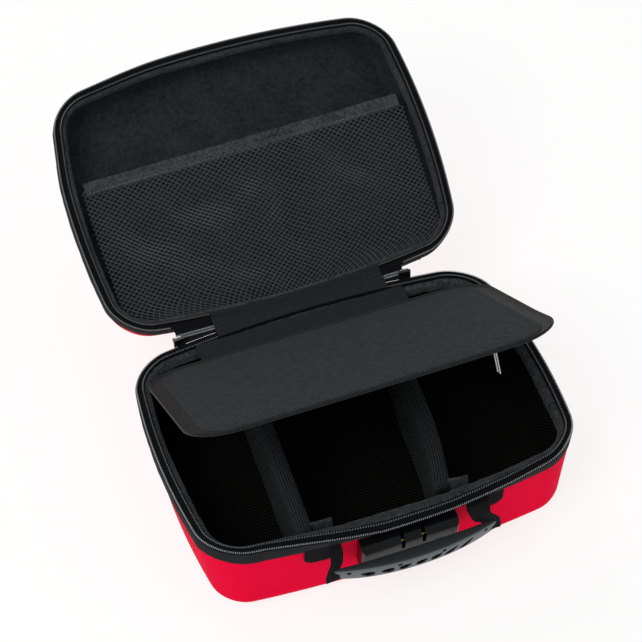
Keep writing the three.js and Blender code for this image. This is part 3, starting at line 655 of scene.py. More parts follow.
def binding(half):
    """The felt strip inside the rim, with the wrinkles of a strip sewn round a bend."""
    section = rounded_section(BINDING_CORNERS[half], 1.8)

    def wobble(inset, drop):
        slow = wander(RIM.s, RIM.total, 5, ((5, 1), (9, 0.8), (14, 0.6)))[:, None]
        quick = wander(RIM.s, RIM.total, 6, ((47, 1), (83, 0.8), (131, 0.5)))[:, None]
        facing_in = smoothstep(9, 14, inset)
        return inset + facing_in * (0.7 * slow + 0.35 * quick), drop + 0.35 * quick + 0.3 * slow

    made = carry_round(f"{half}_binding_cloth", half, section, HALVES[half]["binding"], wobble)
    finish_piece(made, half, [f"{half}_binding"])


# ---- shells


def fillet(inset, depth, radius, steps, inward=0.0):
    r = radius - inward
    angle = np.linspace(0, math.pi / 2, steps + 1)
    return np.stack([inset + inward + r * (1 - np.cos(angle)), depth - radius + r * np.sin(angle)], -1)


def wall(top, bottom, steps):
    t = np.linspace(0, 1, steps, endpoint=False)[:, None]
    return np.array(top) * (1 - t) + np.array(bottom) * t


def bowl(name, half, profile, material, thickness):
    """A bowl from its outside profile of inset and drop pairs, rim first, with real thickness."""
    inside = profile + np.array([thickness, 0])
    inside[:, 1] = np.minimum(profile[:, 1], profile[:, 1].max() - thickness)
    inset, drop = per_station(np.vstack([profile[::-1], inside]))
    if half == "base":
        near_rim = 1 - smoothstep(BAND_BOTTOM, BAND_BOTTOM + 24, drop)
        inset = inset - (FRONT_BOW * BASE_ROLL / FRONT_ROLL)[:, None] * near_rim
    grid = np.swapaxes(on_rim(half, inset, drop, False), 0, 1)
    made = skin(name, grid, material, HALVES[half]["frame"])
    for cap in made.data.polygons[-2:]:
        cap.use_smooth = False
    return made


def shells(half):
    """The red outside and the lining inside it."""
    depth, draft, radius, lining = (HALVES[half][key] for key in ("depth", "draft", "fillet", "lining"))
    top = (SHELL_TOP_INSET, BAND_BOTTOM - 1.5)
    curve = fillet(draft, depth, radius, 14)
    outside = np.vstack([wall(top, curve[0], 14), curve])
    made = bowl(f"{half}_red_cloth", half, outside, "red", SHELL_THICKNESS)
    finish_piece(made, half, [f"{half}_shell"])

    inner = SHELL_THICKNESS + 0.4
    curve = fillet(draft, depth, radius, 12, inner)
    ledge = wall((8.8, 7), (SHELL_TOP_INSET + inner + 1, 18), 3)
    outside = np.vstack([ledge, wall((SHELL_TOP_INSET + inner, 20), curve[0], 14), curve])
    # In the base, the lining's near-black colour also paints the shade deep in the compartments.
    made = bowl(f"{half}_lining_cloth", half, outside, lining, 1.5)
    finish_piece(made, half, [f"{half}_lining"])


for half_name in HALVES:
    rim_band(half_name)
    zip_tape(half_name)
    zip_teeth(half_name)
    binding(half_name)
for half_name in HALVES:
    shells(half_name)


# ---- soft sheets and swept pieces


def thick(grid, thickness):
    """Gives an open grid of points a second side, as one closed ring of rows."""
    along = np.gradient(grid, axis=0)
    across = np.gradient(grid, axis=1)
    normal = np.cross(along, across)
    normal /= np.linalg.norm(normal, axis=2)[..., None]
    half = normal * thickness / 2
    return np.concatenate([grid + half, (grid - half)[:, ::-1]], axis=1)


def cloth_piece(name, grid, thickness, material, frame_matrix=None):
    """A sheet of even thickness from an open grid of points."""
    return skin(name, thick(grid, thickness), material, frame_matrix)


def sweep(name, centres, section, material, frame_matrix=None):
    """Carries a closed section along a line of centres: its first side along y, its second up."""
    grid = np.repeat(centres[:, None], len(section), axis=1)
    grid[..., 1:] += np.asarray(section, float)
    return skin(name, grid, material, frame_matrix)


def curve_through(points, steps):
    """A smooth line through the points, with steps between each pair."""
    p = np.asarray(points, float)
    p = np.vstack([2 * p[0] - p[1], p, 2 * p[-1] - p[-2]])
    made = []
    for k in range(1, len(p) - 2):
        for t in np.linspace(0, 1, steps, endpoint=False):
            a, b, c, d = p[k - 1 : k + 3]
            bend, twist = 2 * a - 5 * b + 4 * c - d, 3 * b - a - 3 * c + d
            made.append(0.5 * (2 * b + (c - a) * t + bend * t**2 + twist * t**3))
    return np.array(made + [p[-2]])


def strip_section(width, thickness, radius):
    w, t = width / 2, thickness / 2
    return rounded_section([(-w, -t), (w, -t), (w, t), (-w, t)], radius)


def rim_y(x, inset, side=1):
    """Y of the front or rear outline at a true x."""
    x = np.asarray(x, float)
    half = HALF_DEPTH - np.asarray(inset, float)
    wide = x / (1 - SHORT_SIDE_BULGE * (half / HALF_DEPTH) ** 2)
    return side * half * (1 - LONG_SIDE_BULGE * (wide / HALF_WIDTH) ** 2)


HINGE_HALF_WIDTH = 79


def rim_rows(x, insets_and_drops, half):
    """Lines of points on a half's rear wall, in the case's axes."""
    rows = []
    for inset, drop in insets_and_drops:
        y = rim_y(x, inset)
        if half == "base":
            rows.append(np.stack([x, y, np.full_like(x, SEAM_HEIGHT - drop)], -1))
        else:
            rows.append(in_frame(np.stack([x, y - HINGE_Y, np.full_like(x, drop)], -1), LID_FRAME))
    return rows


def hinge_panel():
    """The woven panel that joins the two halves: one sheet inside, one outside."""
    x = np.linspace(-HINGE_HALF_WIDTH, HINGE_HALF_WIDTH, 120)

    def grid_from(base, lid, seed, ripple, lift):
        rows = rim_rows(x, base, "base") + rim_rows(x, lid, "lid")
        lines = np.stack([curve_through([r[k] for r in rows], 5) for k in range(len(x))])
        wave = wander(x + HINGE_HALF_WIDTH, 180, seed, ((2, 1), (5, 0.7), (11, 0.4)))[:, None]
        hump = np.sin(np.linspace(0, math.pi, lines.shape[1]))[None]
        lines[..., 2] += lift + ripple * wave * hump
        return lines

    rim = [(8.4, 1.0), (5, 0.5), (1.5, 0.3)]
    inner = grid_from(rim, rim[::-1], 31, 0.35, 0.5)
    made = cloth_piece("hinge_panel_inner", inner, 0.8, "hinge")
    finish_piece(made, None, ["hinge_fabric_base"])
    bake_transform(made)

    wall_rows = [(-0.7, 26), (-0.7, 18), (-0.7, 9), (-0.7, 3.5)]
    outer = grid_from(wall_rows, wall_rows[::-1], 33, 0.0, 0.0)
    made = cloth_piece("hinge_panel_outer", outer, 0.8, "hinge")
    finish_piece(made, None, ["hinge_fabric_lid"])
    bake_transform(made)


ZIP_ENDS = {"left": (-113.0, -78.0), "right": (78.0, 99.0)}  # where the zip is closed beside the panel


def zip_end(side):
    """The closed end of the zip between the slider and the hinge panel."""
    x = np.linspace(*ZIP_ENDS[side], 60)
    (base,), (lid,) = (rim_rows(x, [(0.6, 1.4)], half) for half in HALVES)
    across = np.linspace(0, 1, 25)[None, :, None]
    grid = base[:, None] * (1 - across) + lid[:, None] * across
    grid[..., 2] -= 1.5 * np.sin(across[..., 0] * math.pi)
    tape = cloth_piece(f"zip_end_{side}", grid, 0.7, "tape")
    finish_piece(tape, None, ())
    middle = grid[:, 12]
    s = lengths_along(middle)
    grain, faces = ellipsoid(0.45, 1.3, 0.8)
    places = []
    for row in (-1.5, 1.5):
        for at in np.arange(0.5, s[-1], 1.4):
            point = [np.interp(at, s, middle[:, k]) for k in range(3)]
            places.append((np.eye(3), np.array(point) + [0, row, 0.7]))
    # The closed coil takes the same light grey, a painted highlight.
    coil = many(f"zip_end_{side}_coil", grain, faces, places, "teeth")
    finish_piece(coil, None, ())
    for made in (tape, coil):
        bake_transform(made)


# ---- lid pocket


def net_point(x, forward):
    """A point of the stretched net in the lid's axes, with its folds."""
    start, end = np.array(NET_FOLD)
    way = (end - start) / np.linalg.norm(end - start)
    side = np.array([-way[1], way[0]])
    along = (x - start[0]) * way[0] + (forward - start[1]) * way[1]
    off = (x - start[0]) * side[0] + (forward - start[1]) * side[1]
    fold = np.exp(-((off / 22) ** 2)) * smoothstep(-6, 20, along) * smoothstep(150, 100, along)
    edge = smoothstep(0, 22, 148 - np.abs(x))
    edge = edge * smoothstep(0, 18, forward - 8) * smoothstep(0, 22, 152 - forward)
    swell = np.zeros_like(x)
    for cx, cf, rx, rf, size in NET_SWELLS:
        swell += size * np.exp(-(((x - cx) / rx) ** 2) - ((forward - cf) / rf) ** 2)
    ripple = np.sin(x / 9 + forward / 23) * np.sin(forward / 13 - x / 31)
    depth = 9.5 - 3.2 * smoothstep(120, 156, forward) + edge * (swell + 1.6 * ripple - 2.2 * fold)
    pull = 1.5 * fold * np.tanh(off / 14) * edge
    return np.stack([x - pull * side[0], -(forward - pull * side[1]), depth], -1)


NET_FOLD = ((50.0, 152.0), (124.0, 40.0))  # where the long fold starts and ends
NET_SWELLS = (  # centre across and forward, reach across and forward, depth
    (-104, 100, 22, 20, 7.5),
    (-36, 28, 30, 14, -5.0),
    (-50, 116, 28, 14, 7.0),
    (20, 70, 20, 30, 8.0),
    (88, 112, 16, 18, 6.5),
    (96, 36, 24, 14, 6.5),
    (-90, 44, 24, 16, -4.5),
    (-10, 96, 16, 22, -4.5),
)
NET_HALF_WIDTH = 149
NET_FORWARD = (8, 154)
NET_CELL = (5.6, 4.6)  # the diamonds' width and length
NET_CORD = 1.35
BAND_HALF_LENGTH = 148


def net_half_width(forward):
    """The net follows the lid's rounded sides."""
    corner = 28 * smoothstep(34, 0, forward - 6) ** 1.6
    bulge = 3.0 * np.sin(np.clip((forward - 20) / 134, 0, 1) * math.pi / 2)
    return NET_HALF_WIDTH + bulge - corner


def mesh_pocket():
    """A knitted net of diamonds, every cord with real thickness."""
    half_cells = int(NET_HALF_WIDTH * 2 / NET_CELL[0])
    rows = int((NET_FORWARD[1] - NET_FORWARD[0]) / NET_CELL[1] * 2)
    points, index, faces = [], {}, []

    def place(i, j):
        if (i, j) not in index:
            forward = NET_FORWARD[0] + j * NET_CELL[1] / 2
            share = i / half_cells
            index[i, j] = len(points)
            points.append((share * net_half_width(forward), forward))
        return index[i, j]

    for j in range(1, rows):
        for i in range(-half_cells + 1, half_cells):
            if (i + j) % 2:
                faces.append([place(i - 1, j), place(i, j - 1), place(i + 1, j), place(i, j + 1)])
    flat = np.array(points)
    placed = net_point(flat[:, 0], flat[:, 1])
    made = mesh_object("pocket_net", placed, faces, "net", LID_FRAME, None, False)
    work = bmesh.new()
    work.from_mesh(made.data)
    bmesh.ops.wireframe(
        work,
        faces=list(work.faces),
        thickness=NET_CORD * MM,
        use_replace=True,
        use_boundary=True,
        use_even_offset=False,
        offset=0,
    )
    work.to_mesh(made.data)
    work.free()
    finish_piece(made, "lid", ["mesh_pocket"])


def band_line(x):
    """The pocket's top edge in the lid's axes: it slants a little and dips in the middle."""
    share = x / BAND_HALF_LENGTH
    return np.stack([x, -(154.3 + 2.4 * share), 6.4 + 1.2 * (1 - share**2)], -1)


def pocket_band():
    x = np.linspace(-NET_HALF_WIDTH, NET_HALF_WIDTH, 260)
    centres = band_line(x)
    centres[:, 2] += 0.25 * wander(x + NET_HALF_WIDTH, 310, 41)
    made = sweep("pocket_band_cloth", centres, strip_section(12, 1.5, 0.6), "pocket_band", LID_FRAME)
    finish_piece(made, "lid", ["mesh_pocket_band"])
    piping = sweep("pocket_band_piping", centres + [0, 6.1, -0.5], circle(0.75, 10), "binding", LID_FRAME)
    finish_piece(piping, "lid", ())
    grain, faces = ellipsoid(0.9, 0.28, 0.25)
    places = [(np.eye(3), p + [0, 4.2, -0.85]) for p in band_line(np.arange(-145, 145, 3.0))]
    made = many("pocket_band_stitches", grain, faces, places, "stitch", LID_FRAME)
    finish_piece(made, "lid", ())


# ---- flap


def rounded_outline(x0, x1, y0, y1, radius, steps=14, side_steps=10):
    """Points round a rectangle with rounded corners, the same number for any size."""
    left, right, front, rear = x0 + radius, x1 - radius, y0 + radius, y1 - radius
    corners = [(right, rear), (left, rear), (left, front), (right, front)]
    points = []
    for k, (cx, cy) in enumerate(corners):
        for a in np.linspace(math.pi / 2 * k, math.pi / 2 * (k + 1), steps + 1):
            points.append((cx + radius * math.cos(a), cy + radius * math.sin(a)))
        nx, ny = corners[(k + 1) % 4]
        a = math.pi / 2 * (k + 1)
        start = np.array(points[-1])
        end = np.array([nx + radius * math.cos(a), ny + radius * math.sin(a)])
        points += [tuple(start + (end - start) * t) for t in np.linspace(0, 1, side_steps + 1)[1:-1]]
    return np.array(points)


FLAP_BOX = (-156, 156, -206, -0.7)
FLAP_CORNER = 38
FLAP_ZIP_Y = -178.0
FLAP_ZIP_ACROSS = (-124, 119)


def flap_warp(points):
    """The front right tip curls up a little and the board sags between its ends."""
    x, y = points[..., 0], points[..., 1]
    curl = 3.2 * np.clip((x - 96) / 60, 0, 1) ** 2 * np.clip((-y - 140) / 66, 0, 1)
    sag = 0.9 * np.cos(x / 156 * math.pi / 2) * np.clip(-y / 206, 0, 1)
    points[..., 2] += curl - sag
    return points


def flap_rings(rings):
    """Rings given as insets at the sides, the front and the rear, and a height."""
    x0, x1, y0, y1 = FLAP_BOX
    made = []
    for side, front, rear, height in rings:
        radius = max(FLAP_CORNER - side, 3)
        outline = rounded_outline(x0 + side, x1 - side, y0 + front, y1 - rear, radius)
        made.append(np.column_stack([outline, np.full(len(outline), height)]))
    return flap_warp(np.array(made))


def flap():
    bead = [(1.3 - 1.3 * math.sin(a), 0.2 - 1.5 * math.cos(a)) for a in np.linspace(0.1, math.pi * 0.86, 9)]
    even = [(60, -1.3), (4, -1.3), *bead, (2.9, 0.35), (3.6, 0.15)]
    board = [(i, i, i, z) for i, z in even] + [(11.5, 5, 6, 0.15), (60, 60, 60, 0.15)]
    # The board's bead and ledge take the darker twill, painted shade round the raised panel.
    made = skin("flap_board_cloth", flap_rings(board), "flap_edge_painted_shade", FLAP_FRAME)
    finish_piece(made, "flap", ["flap_board"])

    rise = [(0, -0.3), (0.2, 0.5), (0.9, 1.25), (2.2, 1.6), (5, 1.75), (5.8, 1.45), (6.6, 1.75)]
    rise += [(16, 2.0), (34, 2.2), (60, 2.3)]
    panel = [(60, 60, 60, -0.3)] + [(12.5 + i, 5.6 + i, 6.6 + i, z) for i, z in rise]
    made = skin("flap_panel_cloth", flap_rings(panel), "flap", FLAP_FRAME)
    finish_piece(made, "flap", ["flap_panel"])


def flap_pocket_zip():
    """The zip across the flap's underside, with its wire pull; its slider is refined with the hard parts."""

    def along_zip(x, z):
        return flap_warp(np.stack([x, np.full_like(x, FLAP_ZIP_Y), np.full_like(x, z)], -1))

    centres = along_zip(np.linspace(*FLAP_ZIP_ACROSS, 120), -2.05)
    made = sweep("flap_zip_tape", centres, strip_section(14, 0.8, 0.3), "tape", FLAP_FRAME)
    finish_piece(made, "flap", ["flap_zip"])
    grain, faces = ellipsoid(0.5, 1.9, 0.55)
    teeth_x = np.arange(FLAP_ZIP_ACROSS[0] + 2, FLAP_ZIP_ACROSS[1] - 2, 1.5)
    places = [(np.eye(3), p) for p in along_zip(teeth_x, -2.6)]
    # The flap zip's teeth take the same light grey, a painted highlight.
    made = many("flap_zip_teeth", grain, faces, places, "teeth", FLAP_FRAME)
    finish_piece(made, "flap", ())

    loop = rounded_section([(-2.8, -6.2), (2.8, -6.2), (2.8, -28), (-2.8, -28)], 2.2, 8)
    path = np.array([(101, FLAP_ZIP_Y + y, z) for y, z in loop])
    ahead = np.roll(path, -1, 0) - np.roll(path, 1, 0)
    ahead /= np.linalg.norm(ahead, axis=1)[:, None]
    wide = np.tile([1.0, 0.0, 0.0], (len(path), 1))
    out = np.cross(ahead, wide)
    ring = np.array(circle(0.55, 12))
    grid = path[:, None] + wide[:, None] * ring[:, :1] + out[:, None] * ring[:, 1:]
    made = skin("wire_pull", grid, "nickel", FLAP_FRAME, ring=True)
    finish_piece(made, "flap_pull", ["flap_wire_pull"])


STRIP_ACROSS = (-101, 91)
STRIP_BACK = (90.5, 112.4)


def flap_strip():
    """The woven strip that the flap folds on."""
    x = np.linspace(*STRIP_ACROSS, 150)
    y = np.linspace(*STRIP_BACK, 16)
    xx, yy = np.meshgrid(x, y, indexing="ij")
    ripple = wander(x - STRIP_ACROSS[0], 200, 51, ((3, 1), (8, 0.6), (15, 0.4)))[:, None]
    zz = 86.1 - 0.7 * smoothstep(96, 112, yy) + 0.3 * ripple * np.sin((yy - 90) / 22 * math.pi)
    made = cloth_piece("flap_strip_cloth", np.stack([xx, yy, zz], -1), 0.9, "hinge")
    finish_piece(made, None, ["flap_hinge_strip"])
    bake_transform(made)


# ---- dividers

DIVIDERS = {"left": (-73, -3.4, 0.0), "right": (56, -9.5, 4.0)}  # place, turn, bow
DIVIDER_HALF_LENGTH = 106
DIVIDER_TOP = 79
RIDGE_PITCH = 2.3
TAB_ACROSS = (5.5, 24)
TAB_UP = (26, 76.5)


def divider(side):
    """A padded wall whose ridges slant, so that they meet in a V along its top."""
    place, turn, bow = DIVIDERS[side]
    frame_matrix = Matrix.Translation((place, 0, 0)) @ Matrix.Rotation(math.radians(turn), 4, "Z")
    v = np.linspace(-DIVIDER_HALF_LENGTH, DIVIDER_HALF_LENGTH, 430)
    end = np.abs(v) - (DIVIDER_HALF_LENGTH - 6)
    top = DIVIDER_TOP - 5 * np.clip(end / 6, 0, 1) ** 2
    low = 5.4 + 19 * np.clip((np.abs(v) - 89) / 14, 0, 1) ** 2
    low += 26 * np.clip((np.abs(v) - 103) / 3, 0, 1)
    half = 6.9 * (1 - 0.55 * np.clip(end / 6, 0, 1) ** 2) + 0.25 * wander(v + DIVIDER_HALF_LENGTH, 220, 61)
    side_steps = np.linspace(0, 1, 26)
    rows = []
    for k in range(len(v)):
        shoulder = top[k] - half[k]
        reach = shoulder - low[k]
        left = [(half[k], shoulder - reach * t) for t in side_steps[::-1]]
        arc = [
            (half[k] * math.cos(a), shoulder + half[k] * math.sin(a))
            for a in np.linspace(0, math.pi, 15)[1:-1]
        ]
        right = [(-half[k], shoulder - reach * t) for t in side_steps]
        rows.append(left + arc + right)
    section = np.array(rows)
    middle = np.stack([np.zeros(len(v)), top - half], -1)[:, None]
    outward = section - middle
    outward[..., 1] = np.maximum(outward[..., 1], 0)
    outward /= np.linalg.norm(outward, axis=2)[..., None] + 1e-9
    around = np.abs(np.linspace(-1, 1, section.shape[1]))[None] * 60
    ridge = 0.5 + 0.5 * np.cos(TAU * (v[:, None] + 0.3 * around) / RIDGE_PITCH)
    section = section + outward * (0.5 * ridge**1.5)[..., None]
    curve = bow * np.clip(1 - ((v + 50) / 60) ** 2, 0, 1)
    x = section[..., 0] + curve[:, None]
    y = np.broadcast_to(v[:, None], x.shape)
    grid = np.stack([x, y, section[..., 1]], -1)
    made = skin(f"divider_{side}_pad", grid, "divider", frame_matrix)
    finish_piece(made, f"{side}_divider", [f"divider_{side}"])

    for name, sign in (("front", -1), ("rear", 1)):
        z = np.linspace(*TAB_UP, 40)
        x = np.linspace(*TAB_ACROSS, 24)
        xx, zz = np.meshgrid(x, z, indexing="ij")
        lean = 1.5 * smoothstep(60, 78, zz)
        wave = 0.5 * np.sin(xx / 5 + zz / 17)
        yy = sign * (DIVIDER_HALF_LENGTH - 4.5 - lean + wave - 0.05 * (xx - TAB_ACROSS[0]))
        node_name = f"divider_{side}_tab_{name}"
        grid = np.stack([xx, yy, zz], -1)
        tab = cloth_piece(f"{node_name}_cloth", grid, 2.6, "binding", frame_matrix)
        finish_piece(tab, f"{side}_divider", [node_name])


# ---- handle and its webbing


WEBBING_RIB = 1.5
PATCH_ACROSS = (61, 86)
PATCH_TOP = 73
PATCH_TALL = 19


def wall_inset(z):
    top = SEAM_HEIGHT - BAND_BOTTOM
    return SHELL_TOP_INSET + (top - z) / (top - BASE_FILLET) * (BASE_DRAFT - SHELL_TOP_INSET)


def webbing_patch(side, sign):
    """Ribbed webbing sewn to the wall behind each end of the handle."""
    x = np.linspace(*PATCH_ACROSS, 60)
    t = np.linspace(0, 1, 24)
    tt, xx = np.meshgrid(t, x, indexing="xy")
    corner = 5 * np.clip((xx - 78) / 8, 0, 1) ** 2.2
    zz = PATCH_TOP - tt * (PATCH_TALL - corner)
    yy = rim_y(xx, wall_inset(zz) - 1.1 - 0.18 * np.cos(TAU * xx / WEBBING_RIB), -1)
    grid = np.stack([sign * xx, yy, zz], -1)
    made = cloth_piece(f"webbing_patch_{side}_cloth", grid, 1.5, "webbing")
    finish_piece(made, "base", [f"webbing_patch_{side}"])


STRAPS = {  # way from the band to the grip, and the strap's width at both ends
    "left": (
        [
            (-61, -120, 72),
            (-61.5, -129, 71),
            (-64.5, -137, 67.5),
            (-68.5, -141, 63),
            (-70.5, -142.5, 57.5),
            (-70, -142, 52),
        ],
        (9, 12),
    ),
    "right": (
        [
            (66, -119, 72.5),
            (60, -130, 73),
            (60, -137.5, 69),
            (65.5, -140.5, 64),
            (68.5, -141.5, 58),
            (68.5, -142, 53),
        ],
        (17, 12),
    ),
}


def strap(side):
    points, widths = STRAPS[side]
    line = curve_through(points, 12)
    s = lengths_along(line)
    share = s / s[-1]
    ahead = np.gradient(line, axis=0)
    ahead /= np.linalg.norm(ahead, axis=1)[:, None]
    sign = -1 if side == "left" else 1
    turn = sign * 0.5 * np.sin(share * math.pi)
    wide = np.stack([np.cos(turn), -np.sin(turn), 0.3 * np.sin(turn)], -1)
    wide -= ahead * np.sum(wide * ahead, 1)[:, None]
    wide /= np.linalg.norm(wide, axis=1)[:, None]
    width = np.interp(share, [0, 0.35, 1], [widths[0], widths[0] + 2, widths[1]])
    across = np.linspace(-0.5, 0.5, 40)
    grid = line[:, None] + wide[:, None] * (across[None, :, None] * width[:, None, None])
    bulge = np.cross(wide, ahead)
    crown = 1.1 * (0.25 - across[None] ** 2) * 4 * np.sin(share * math.pi)[:, None]
    rib = 0.2 * np.cos(TAU * s / WEBBING_RIB)[:, None] + crown
    grid = grid + bulge[:, None] * rib[..., None]
    made = cloth_piece(f"webbing_loop_{side}_cloth", grid, 1.5, "webbing")
    finish_piece(made, None, [f"webbing_loop_{side}"])
    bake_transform(made)


HANDLE_HALF = 72.5
HANDLE_SHIFT = 3
HANDLE_OUTER = (-141.0, -11.6, 2.1)  # value at the ends, change at the middle, and how it grows
HANDLE_INNER = (-139.2, -2.2, 3.0)
HANDLE_TALL = (12.0, 3.0, 5.0)
# Recesses in the outer face: place, slope, length and width.
RECESSES = (
    (-45, -16, 12.5, 6.4),
    (-29, -12, 12, 6.6),
    (-14, 24, 11, 6.0),
    (0, 28, 11, 6.0),
    (13, 30, 11.5, 5.8),
    (26, 36, 15, 4.6),
    (40, 38, 15.5, 4.4),
)
DIMPLES = (-60, -19, 19, 58)
GRIP_TOP = 62


def handle_hollows(xx, height, tall):
    """How deep the teardrop recesses and the dimples are, from 0 to 1, over the outer face."""
    hollow = np.zeros_like(xx)
    for place, slope, length, width in RECESSES:
        a = math.radians(slope)
        dx, dz = xx - place, 0.62 * tall - height
        along = dx * math.cos(a) + dz * math.sin(a)
        off = -dx * math.sin(a) + dz * math.cos(a)
        fat = width / 2 * np.clip(1.15 - 0.55 * np.sign(slope) * along / (length / 2), 0.2, 1.5)
        inside = 1 - (along / (length / 2)) ** 2 - (off / fat) ** 2
        hollow = np.maximum(hollow, smoothstep(-0.05, 0.3, inside))
    dimple = np.zeros_like(xx)
    for place in DIMPLES:
        inside = 1 - ((xx - place) ** 2 + (height - 4.2) ** 2) / 1.9**2
        dimple = np.maximum(dimple, smoothstep(-0.1, 0.5, inside))
    return hollow, dimple


def handle():
    """The moulded grip: a flat top, and a tall outer face with a row of teardrop recesses."""
    x = np.linspace(-HANDLE_HALF, HANDLE_HALF, 760)
    outer, inner, tall = (
        end + change * (1 - (np.abs(x) / HANDLE_HALF) ** power)
        for end, change, power in (HANDLE_OUTER, HANDLE_INNER, HANDLE_TALL)
    )
    face = np.linspace(0, 1, 72)
    xx, ff = np.meshgrid(x, face, indexing="ij")
    height = ff * tall[:, None]
    hollow, dimple = handle_hollows(xx, height, tall[:, None])
    lean = 3.0 * ff**1.6
    brow = 0.5 * np.exp(-((ff / 0.06) ** 2))
    y = outer[:, None] + lean + brow + 2.6 * hollow + 1.0 * dimple
    x = x + HANDLE_SHIFT
    outside = np.stack([xx + HANDLE_SHIFT, y, GRIP_TOP - 0.35 - height], -1)
    low_y, low_z = outside[:, -1, 1], outside[:, -1, 2]
    rows = []
    for t in (0.2, 0.6, 0.95):
        rows.append([x, low_y + t * (inner - low_y), low_z - 0.6 * math.sin(t * math.pi)])
    for t in (0.1, 0.5, 0.93):
        rows.append([x, inner + 0.3, low_z + t * (GRIP_TOP - low_z)])
    for t in np.linspace(0.04, 0.97, 12):
        lift = 0.35 * math.sin(t * math.pi) - 0.25 * (t > 0.9)
        rows.append([x, inner + t * (outer - inner), np.full_like(x, GRIP_TOP) + lift])
    rest = np.stack([np.stack(row, -1) for row in rows], 1)
    grid = np.concatenate([outside, rest], axis=1)
    made = skin("handle_shell", grid, "handle")
    # Slot 1 is the outer face's painted light; slot 2 is the painted shade in its recesses and dimples.
    made.data.materials.append(MATERIALS["handle_face_painted_light"])
    made.data.materials.append(MATERIALS["handle_painted_shade"])
    # Where the hollows are deep, the outer face takes the painted shade.
    deep = np.maximum(hollow, dimple)[:-1, :-1]
    kinds = np.zeros((len(x) - 1, grid.shape[1]), int)
    kinds[:, : len(face) - 1] = np.where(deep > 0.5, 2, 1)
    caps = [0, 0]
    made.data.polygons.foreach_set("material_index", kinds.ravel().tolist() + caps)
    finish_piece(made, "handle", ["handle_grip"])


# ---- hard parts taken from the CAD


def refined(node_name, body, material, width):
    """A CAD part's own mesh with softened edges."""
    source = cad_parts[node_name]
    made = bpy.data.objects.new(f"{node_name}_fine", source.data.copy())
    bpy.context.scene.collection.objects.link(made)
    work = bmesh.new()
    work.from_mesh(made.data)
    work.transform(source.matrix_world)
    bmesh.ops.remove_doubles(work, verts=work.verts, dist=1e-6)
    bmesh.ops.dissolve_limit(work, angle_limit=math.radians(2), verts=work.verts, edges=work.edges)
    sharp = [e for e in work.edges if e.is_manifold and e.calc_face_angle(0) > math.radians(28)]
    bmesh.ops.bevel(
        work, geom=sharp, offset=width * MM, segments=3, profile=0.5, affect="EDGES", clamp_overlap=True
    )
    bmesh.ops.triangulate(work, faces=[f for f in work.faces if len(f.verts) > 4])
    work.to_mesh(made.data)
    work.free()
    made.data.materials.clear()
    made.data.materials.append(MATERIALS[material])
    for polygon in made.data.polygons:
        polygon.material_index = 0
        polygon.use_smooth = True
    made.data.update()
    smooth = made.modifiers.new("weighted", "WEIGHTED_NORMAL")
    smooth.keep_sharp = True
    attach(made, body)
    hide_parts(node_name)


HARD_PARTS = [  # node, body, material, slot and width of its softened edges
    ("lock_housing", "base", "lock", "lock_plastic", 0.7),
    ("lock_back_plate", "base", "nickel", "nickel", 0.15),
    ("lock_spindle", "base", "nickel", "nickel", 0.15),
    ("lock_button_spring", "base", "nickel", "nickel", 0.1),
    ("lock_button", "button", "dial", "lock_plastic", 0.35),
    ("flap_zip_slider", "flap_slider", "nickel", "nickel", 0.3),
]
HARD_PARTS += [(f"lock_rivet_{n}", "base", "nickel", "nickel", 0.15) for n in (1, 2)]
HARD_PARTS += [(f"lock_dial_{n}", f"dial_{n}", "dial", "lock_plastic", 0.3) for n in (1, 2, 3)]
HARD_PARTS += [(f"lock_latch_{n}", f"latch_{n}", "brass", "brass", 0.2) for n in (1, 2)]
for side_name in ("left", "right"):
    HARD_PARTS.append((f"zip_slider_{side_name}", f"{side_name}_slider", "slider", "slider_black", 0.5))
    HARD_PARTS.append((f"zip_pull_{side_name}", f"{side_name}_pull", "nickel", "nickel", 0.3))

hinge_panel()
for side_name in ZIP_ENDS:
    zip_end(side_name)
mesh_pocket()
pocket_band()
flap()
flap_pocket_zip()
flap_strip()
for side_name in DIVIDERS:
    divider(side_name)
for side_name, side_sign in (("left", -1), ("right", 1)):
    webbing_patch(side_name, side_sign)
    strap(side_name)
handle()
for part, part_body, part_material, part_slot, bevel_width in HARD_PARTS:
    refined(part, part_body, part_material, bevel_width)


# ---- stage, camera, light


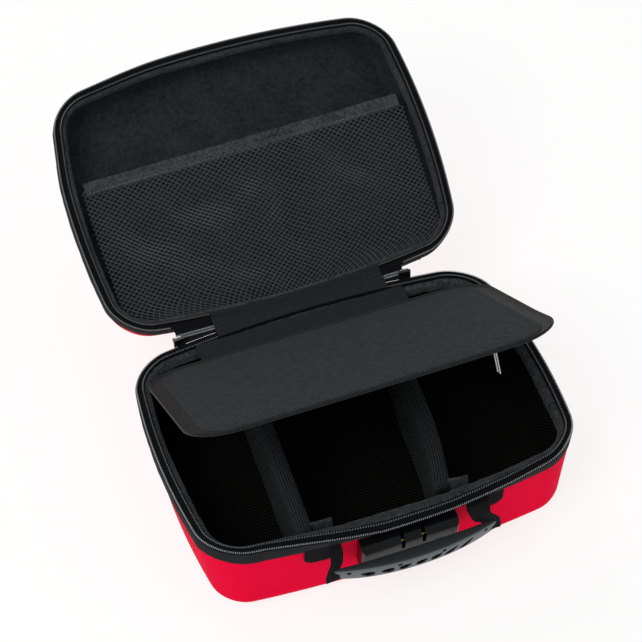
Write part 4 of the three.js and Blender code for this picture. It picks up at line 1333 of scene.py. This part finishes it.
FLOOR_HALF = 14  # metres
LIGHTS = (  # name, place and target in metres, width, power and colour
    ("key", (-1.3, -0.9, 1.9), (0, 0, 0.05), 1.2, 27, (1, 0.99, 0.97)),
    ("fill", (1.3, -1.0, 1.6), (0, 0, 0.08), 1.4, 5, (1, 1, 1)),
    ("back", (-0.2, 1.6, 1.6), (0, 0.1, 0.1), 1.0, 9, (1, 1, 1)),
)
CAMERA_PLACE = (-0.35787, -1.04093, 1.34554)  # metres
CAMERA_AIM = (-17.897, 46.453, -3.321)  # azimuth, elevation and roll in degrees
CAMERA_LENS = 111.816


def floor_and_light():
    color = (0.2, 0.2, 0.2)
    floor_material, _, shader = new_material("studio_floor", color, 0.8, specular=0.05)
    shader.inputs["Emission Color"].default_value = (1, 1, 1, 1)
    shader.inputs["Emission Strength"].default_value = 0.8
    mesh = bpy.data.meshes.new("studio_floor")
    corners = [(x * FLOOR_HALF, y * FLOOR_HALF, 0) for x, y in ((-1, -1), (1, -1), (1, 1), (-1, 1))]
    mesh.from_pydata(corners, [], [(0, 1, 2, 3)])
    mesh.materials.append(floor_material)
    floor = bpy.data.objects.new("studio_floor", mesh)
    bpy.context.scene.collection.objects.link(floor)

    world = bpy.data.worlds.new("studio")
    bpy.context.scene.world = world
    world.use_nodes = True
    background = world.node_tree.nodes["Background"]
    background.inputs["Color"].default_value = (1, 1, 1, 1)
    background.inputs["Strength"].default_value = 0.5

    for name, place, target, width, power, tint in LIGHTS:
        light = bpy.data.lights.new(name, "AREA")
        light.size = width
        light.energy = power
        light.color = tint
        made = bpy.data.objects.new(name, light)
        made.location = place
        made.rotation_euler = (Vector(target) - Vector(place)).to_track_quat("-Z", "Y").to_euler()
        bpy.context.scene.collection.objects.link(made)


def camera():
    azimuth, elevation, roll = (math.radians(a) for a in CAMERA_AIM)
    flat = math.cos(elevation)
    back = Vector((math.sin(azimuth) * flat, -math.cos(azimuth) * flat, math.sin(elevation)))
    level = Vector((math.cos(azimuth), math.sin(azimuth), 0))
    upright = level.cross(-back)
    right = math.cos(roll) * level + math.sin(roll) * upright
    up = math.cos(roll) * upright - math.sin(roll) * level
    data = bpy.data.cameras.new("camera")
    data.lens = CAMERA_LENS
    data.sensor_width = 36
    data.clip_end = 50
    made = bpy.data.objects.new("camera", data)
    turn = Matrix((right, up, back)).transposed().to_4x4()
    made.matrix_world = Matrix.Translation(CAMERA_PLACE) @ turn
    bpy.context.scene.collection.objects.link(made)
    bpy.context.scene.camera = made


floor_and_light()
camera()
bpy.context.scene.view_settings.view_transform = "Standard"
